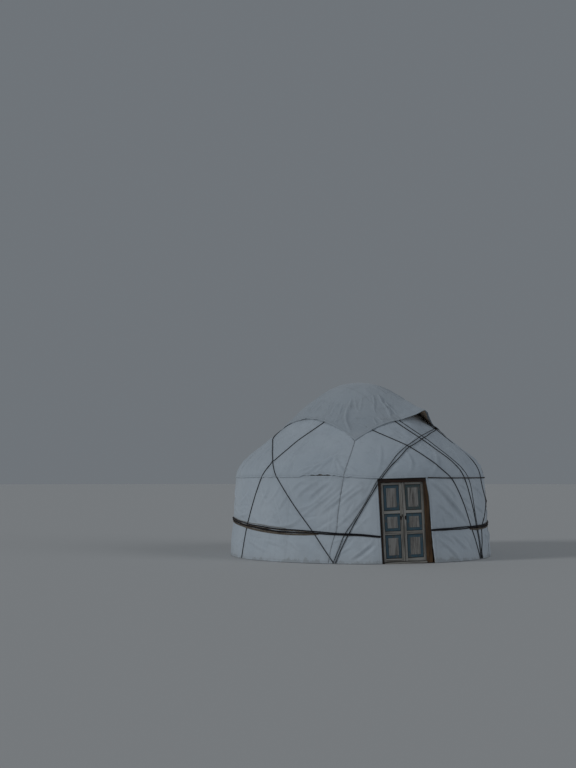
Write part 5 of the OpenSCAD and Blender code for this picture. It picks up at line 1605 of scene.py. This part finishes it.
def jamb_mesh(side, seed, wob):
    """The jamb's section swept up in short lengths, its faces hewn a little uneven."""
    x0, x1, xs = HALF_W, INNER, INNER - STOP_W
    e = 0.004
    sec = [[x0 - e, 0], [x0, e], [x0, 0.025], [x0, 0.029], [x0, FRAME_D - e], [x0 - e, FRAME_D], [(x0 + x1) / 2, FRAME_D], [x1 + e, FRAME_D], [x1, FRAME_D - e],
           [x1, STOP_D], [xs + 0.002, STOP_D], [xs, STOP_D - 0.002], [xs, e], [xs + e, 0], [(xs + x0) / 2, 0]]
    sec = np.array(sec)
    top = FRAME_H - LINT
    zs = np.concatenate([[0.0], np.arange(0.012, top - 0.004, 0.03), [top - 0.0005]])
    g = np.random.default_rng(seed)
    ph = g.uniform(0, 6.28, (len(sec), 4))
    co = []
    for z in zs:
        p = sec.copy()
        w = np.array([sum(math.sin(z * f + ph[i][j]) / (1 + j) for j, f in enumerate((4.0, 11.0, 27.0, 58.0))) for i in range(len(sec))])
        # only outward faces wander, and inward of the true section
        if side > 0:
            p[0:3, 0] += spread(z) - 0.001
        p[0:5, 0] -= wob * np.abs(w[0:5]) * 0.8
        p[[0, 1, 12, 13, 14], 1] += wob * np.abs(w[[0, 1, 12, 13, 14]]) * 0.7
        p[5:8, 1] -= wob * 0.3 * np.abs(w[5:8])
        co.append(np.column_stack([side * p[:, 0], p[:, 1], np.full(len(p), z)]))
    co = np.array(co)
    n, m = co.shape[:2]
    k = np.arange(n * m).reshape(n, m)
    q = np.stack([k[:-1], np.roll(k, -1, 1)[:-1], np.roll(k, -1, 1)[1:], k[1:]], -1).reshape(-1, 4)
    caps = []
    # the end sections as quads: outer block and the stop
    for row, turn in ((k[0], True), (k[-1], False)):
        fs = [[row[0], row[1], row[2], row[14]], [row[14], row[2], row[3], row[3]], [row[14], row[3], row[4], row[6]], [row[4], row[5], row[6], row[6]],
              [row[14], row[6], row[9], row[13]], [row[6], row[7], row[8], row[9]], [row[9], row[10], row[11], row[13]], [row[11], row[12], row[13], row[13]]]
        caps += [f[::-1] if turn else f for f in fs]
    quads = [f for f in caps if len(set(f)) == 4]
    tris = [[f[i] for i in range(4) if f[i] not in f[:i]] for f in caps if len(set(f)) == 3]
    co = co.reshape(-1, 3)
    # at the ground the leaned foot is cut level
    world = lean(co)
    world[:, 2] = np.maximum(world[:, 2], 0.0005)
    quads, tris = np.concatenate([q, np.array(quads)]), np.array(tris)
    if side < 0:
        quads, tris = quads[:, ::-1], tris[:, ::-1]
    return world, quads, tris


def orient(o):
    """Turns every face outward."""
    import bmesh

    bm = bmesh.new()
    bm.from_mesh(o.data)
    bmesh.ops.recalc_face_normals(bm, faces=bm.faces)
    bm.to_mesh(o.data)
    bm.free()


def finish_wood(o, node, bevel=None):
    orient(o)
    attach(o, "root" if node in ("left_jamb", "right_jamb", "lintel", "door_sill") else node.split("_")[0] + "_leaf")
    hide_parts(node)
    return o


for side, nm, mat, seed in ((-1, "left_jamb", M_JAMB, 5), (1, "right_jamb", M_JAMB_R, 9)):
    co, qd, tr = jamb_mesh(side, seed, 0.0022)
    o = make("timber_" + nm, co, [qd, tr], [mat], smooth=False)
    finish_wood(o, nm)


def boards(name, parts, mats, node):
    bd = Bundle()
    for args, kw, mat in parts:
        co, qd = board(*args, **kw)
        world = lean(co)
        if node in ("door_sill",):
            world[:, 2] = np.maximum(world[:, 2], 0.0005)
        bd.solid(world, qd, mat=mat)
    o = bd.done(name, mats, smooth=False)
    return finish_wood(o, node)


boards("timber_lintel", [
    ((-HALF_W, HALF_W, 0, FRAME_D, FRAME_H - LINT, FRAME_H), dict(r=0.004, wob=0.0009, seed=21), 0),
    ((-INNER + STOP_W + 0.001, INNER - STOP_W - 0.001, 0.0008, STOP_D, FRAME_H - LINT - STOP_W, FRAME_H - LINT + 0.006), dict(r=0.002, wob=0.0004, seed=22), 0)],
    [M_LINTEL], "lintel")
boards("timber_sill", [((-INNER + STOP_W + 0.001, INNER - STOP_W - 0.001, -0.006, FRAME_D, 0.0, 0.032), dict(r=0.005, wob=0.0006, seed=23), 0)],
       [M_RAIL], "door_sill")

# ---------------------------------------------------------------- door leaves
STILE, RAILS = 0.048, [[Z0, 0.054], [0.500, 0.056], [0.860, 0.050], [Z1 - 0.042, 0.042]]


def leaf(side, nm):
    x0 = 0.004 if side > 0 else -0.395
    x1 = x0 + 0.391
    parts = []
    y0, y1 = LY, LY + LT
    sd = 40 if side > 0 else 60
    for i, (a, b) in enumerate(((x0, x0 + STILE), (x1 - STILE, x1))):
        parts.append(((a, b, y0, y1, Z0, Z1), dict(r=0.0028, wob=0.0005, seed=sd + i), 0))
    for i, (z, h) in enumerate(RAILS):
        parts.append(((x0 + STILE - 0.0004, x1 - STILE + 0.0004, y0 + 0.0009, y1 - 0.0009, z, z + h), dict(r=0.0022, wob=0.0004, seed=sd + 5 + i), 1))
    boards("boards_%s_leaf" % nm, parts, [M_STILE, M_RAIL], "%s_leaf_frame" % nm)
    # panels: a recessed sheet with a painted moulding round a raised bare field, on both faces
    co, qd, mt = [], [], []
    n = 0
    for k in range(3):
        za, zb = RAILS[k][0] + RAILS[k][1], RAILS[k + 1][0]
        xa, xb = x0 + STILE, x1 - STILE
        for face in (-1, 1):
            yf = LY if face < 0 else LY + LT
            # (inset, depth below the frame's face)
            prof = [(-0.004, 0.013), (0.0, 0.0125), (0.0070, 0.0122), (0.0105, 0.0070), (0.0145, 0.0062), (0.0180, 0.0100), (0.0205, 0.0118),
                    (0.0500, 0.0108), (0.0530, 0.0088), (0.0560, 0.0058), (0.0600, 0.0050), (0.0630, 0.0052), (0.0660, 0.0050)]
            rows = []
            for ins, dep in prof:
                y = yf - face * dep
                nx, nz = 8, 14
                xs = np.linspace(xa + ins, xb - ins, nx + 1)
                zs = np.linspace(za + ins, zb - ins, nz + 1)
                ring = [[x, y, za + ins] for x in xs[:-1]] + [[xb - ins, y, z] for z in zs[:-1]] + [[x, y, zb - ins] for x in xs[:0:-1]] + [[xa + ins, y, z] for z in zs[:0:-1]]
                rows.append(ring)
            rows = np.array(rows)
            R_, C_ = rows.shape[:2]
            kk = np.arange(R_ * C_).reshape(R_, C_) + n
            quads = np.stack([kk[:-1], np.roll(kk, -1, 1)[:-1], np.roll(kk, -1, 1)[1:], kk[1:]], -1).reshape(-1, 4)
            paint = 2 if (nm == "right" and k == 2) else 1
            # the first two bands round each panel take the near-black groove colour: painted shadow in the recess
            tag = np.repeat(np.array([3, 3] + [paint] * 7 + [0] * (R_ - 1 - 9)), C_)
            # the field itself
            last = kk[-1]
            nx, nz = 8, 14
            ins, dep = prof[-1]
            xs, zs = np.linspace(xa + ins, xb - ins, nx + 1), np.linspace(za + ins, zb - ins, nz + 1)
            gridi = np.zeros((nz + 1, nx + 1), int)
            extra = []
            base = n + R_ * C_
            for a in range(nz + 1):
                for c in range(nx + 1):
                    if a == 0:
                        gridi[a, c] = last[c] if c < nx else last[nx]
                    elif c == nx:
                        gridi[a, c] = last[nx + a] if a < nz else last[nx + nz]
                    elif a == nz:
                        gridi[a, c] = last[nx + nz + (nx - c)]
                    elif c == 0:
                        gridi[a, c] = last[2 * nx + nz + (nz - a)] if a > 0 else last[0]
                    else:
                        w = 0.0004 * math.sin(xs[c] * 70 + k * 2 + zs[a] * 3)
                        gridi[a, c] = base + len(extra)
                        extra.append([xs[c], yf - face * (dep + w), zs[a]])
            fq = np.stack([gridi[:-1, :-1], gridi[:-1, 1:], gridi[1:, 1:], gridi[1:, :-1]], -1).reshape(-1, 4)
            co.append(np.concatenate([rows.reshape(-1, 3), np.array(extra)]))
            n += R_ * C_ + len(extra)
            qd += [quads, fq]
            mt += [tag, np.zeros(len(fq), int)]
        # the two faces are joined by a narrow edge inside the frame's groove
        m0 = len(co) - 2
        a0 = sum(len(c) for c in co[:m0])
        a1 = a0 + len(co[m0])
        C_ = 2 * (8 + 14)
        ra, rb = np.arange(C_) + a0, np.arange(C_) + a1
        edge = np.stack([ra, rb, np.roll(rb, -1), np.roll(ra, -1)], 1)
        qd.append(edge)
        mt.append(np.ones(len(edge), int))
    co = lean(np.concatenate(co))
    o = make("panels_%s_leaf" % nm, co, [np.concatenate(qd)], [M_FIELD, M_BLUE, M_TEAL, M_GROOVE], smooth=False, slots=np.concatenate(mt))
    finish_wood(o, "%s_leaf_panels" % nm)


leaf(-1, "left")
leaf(1, "right")

for nm, s in (("left", -1), ("right", 1)):
    xm = s * 0.042
    bits = [((xm - 0.0135, xm + 0.0095 if s < 0 else xm + 0.0135, LY - 0.0016, LY - 0.0003, 0.748, 0.816), dict(r=0.0005, wob=0.0001, seed=90), 0)]
    if s < 0:
        bits.append(((-0.0245, -0.0065, LY - 0.0142, LY - 0.0118, 0.792, 0.842), dict(r=0.0008, wob=0.0001, seed=91), 0))
    bd = Bundle()
    for args, kw, mat in bits:
        co, qd = board(*args, **kw)
        bd.solid(lean(co), qd, mat=mat)
    o = bd.done("plate_%s_leaf" % nm, [M_IRON], smooth=False)
    orient(o)
    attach(o, nm + "_leaf")


def bead():
    a = np.linspace(0, np.pi, 11)
    zs = np.linspace(Z0 + 0.004, Z0 + 0.004 + (Z1 - Z0 - 0.018), 46)
    sec = np.column_stack([-0.015 + 0.011 * np.cos(a), LY - 0.011 * np.sin(a) ** 0.8])
    sec = np.concatenate([sec, [[-0.0255, LY + 0.0005], [-0.0045, LY + 0.0005]]])
    g = np.random.default_rng(77)
    co = []
    for i, z in enumerate(zs):
        p = sec.copy()
        p[:, 0] += 0.0009 * math.sin(z * 9 + 1) + 0.0004 * math.sin(z * 31)
        k = 1 - 0.06 * abs(math.sin(z * 23 + 2)) * g.random()
        p[:11, 1] = LY - (LY - p[:11, 1]) * k
        co.append(np.column_stack([p[:, 0], p[:, 1], np.full(len(p), z)]))
    co = np.array(co)
    n, m = co.shape[:2]
    k = np.arange(n * m).reshape(n, m)
    q = np.stack([k[:-1], np.roll(k, -1, 1)[:-1], np.roll(k, -1, 1)[1:], k[1:]], -1).reshape(-1, 4)
    caps = []
    for row in (k[0], k[-1]):
        for i in range(m // 2 - 1):
            caps.append([row[i], row[i + 1], row[m - 2 - i], row[m - 1 - i]])
    o = make("bead_meeting", lean(co.reshape(-1, 3)), [np.concatenate([q, np.array(caps)])] + ([np.array([[r[m // 2 - 1], r[m // 2], r[m // 2 + 1]] for r in (k[0], k[-1])])] if m % 2 else []), [M_STILE], smooth=False)
    orient(o)
    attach(o, "left_leaf")
    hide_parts("meeting_bead")


bead()
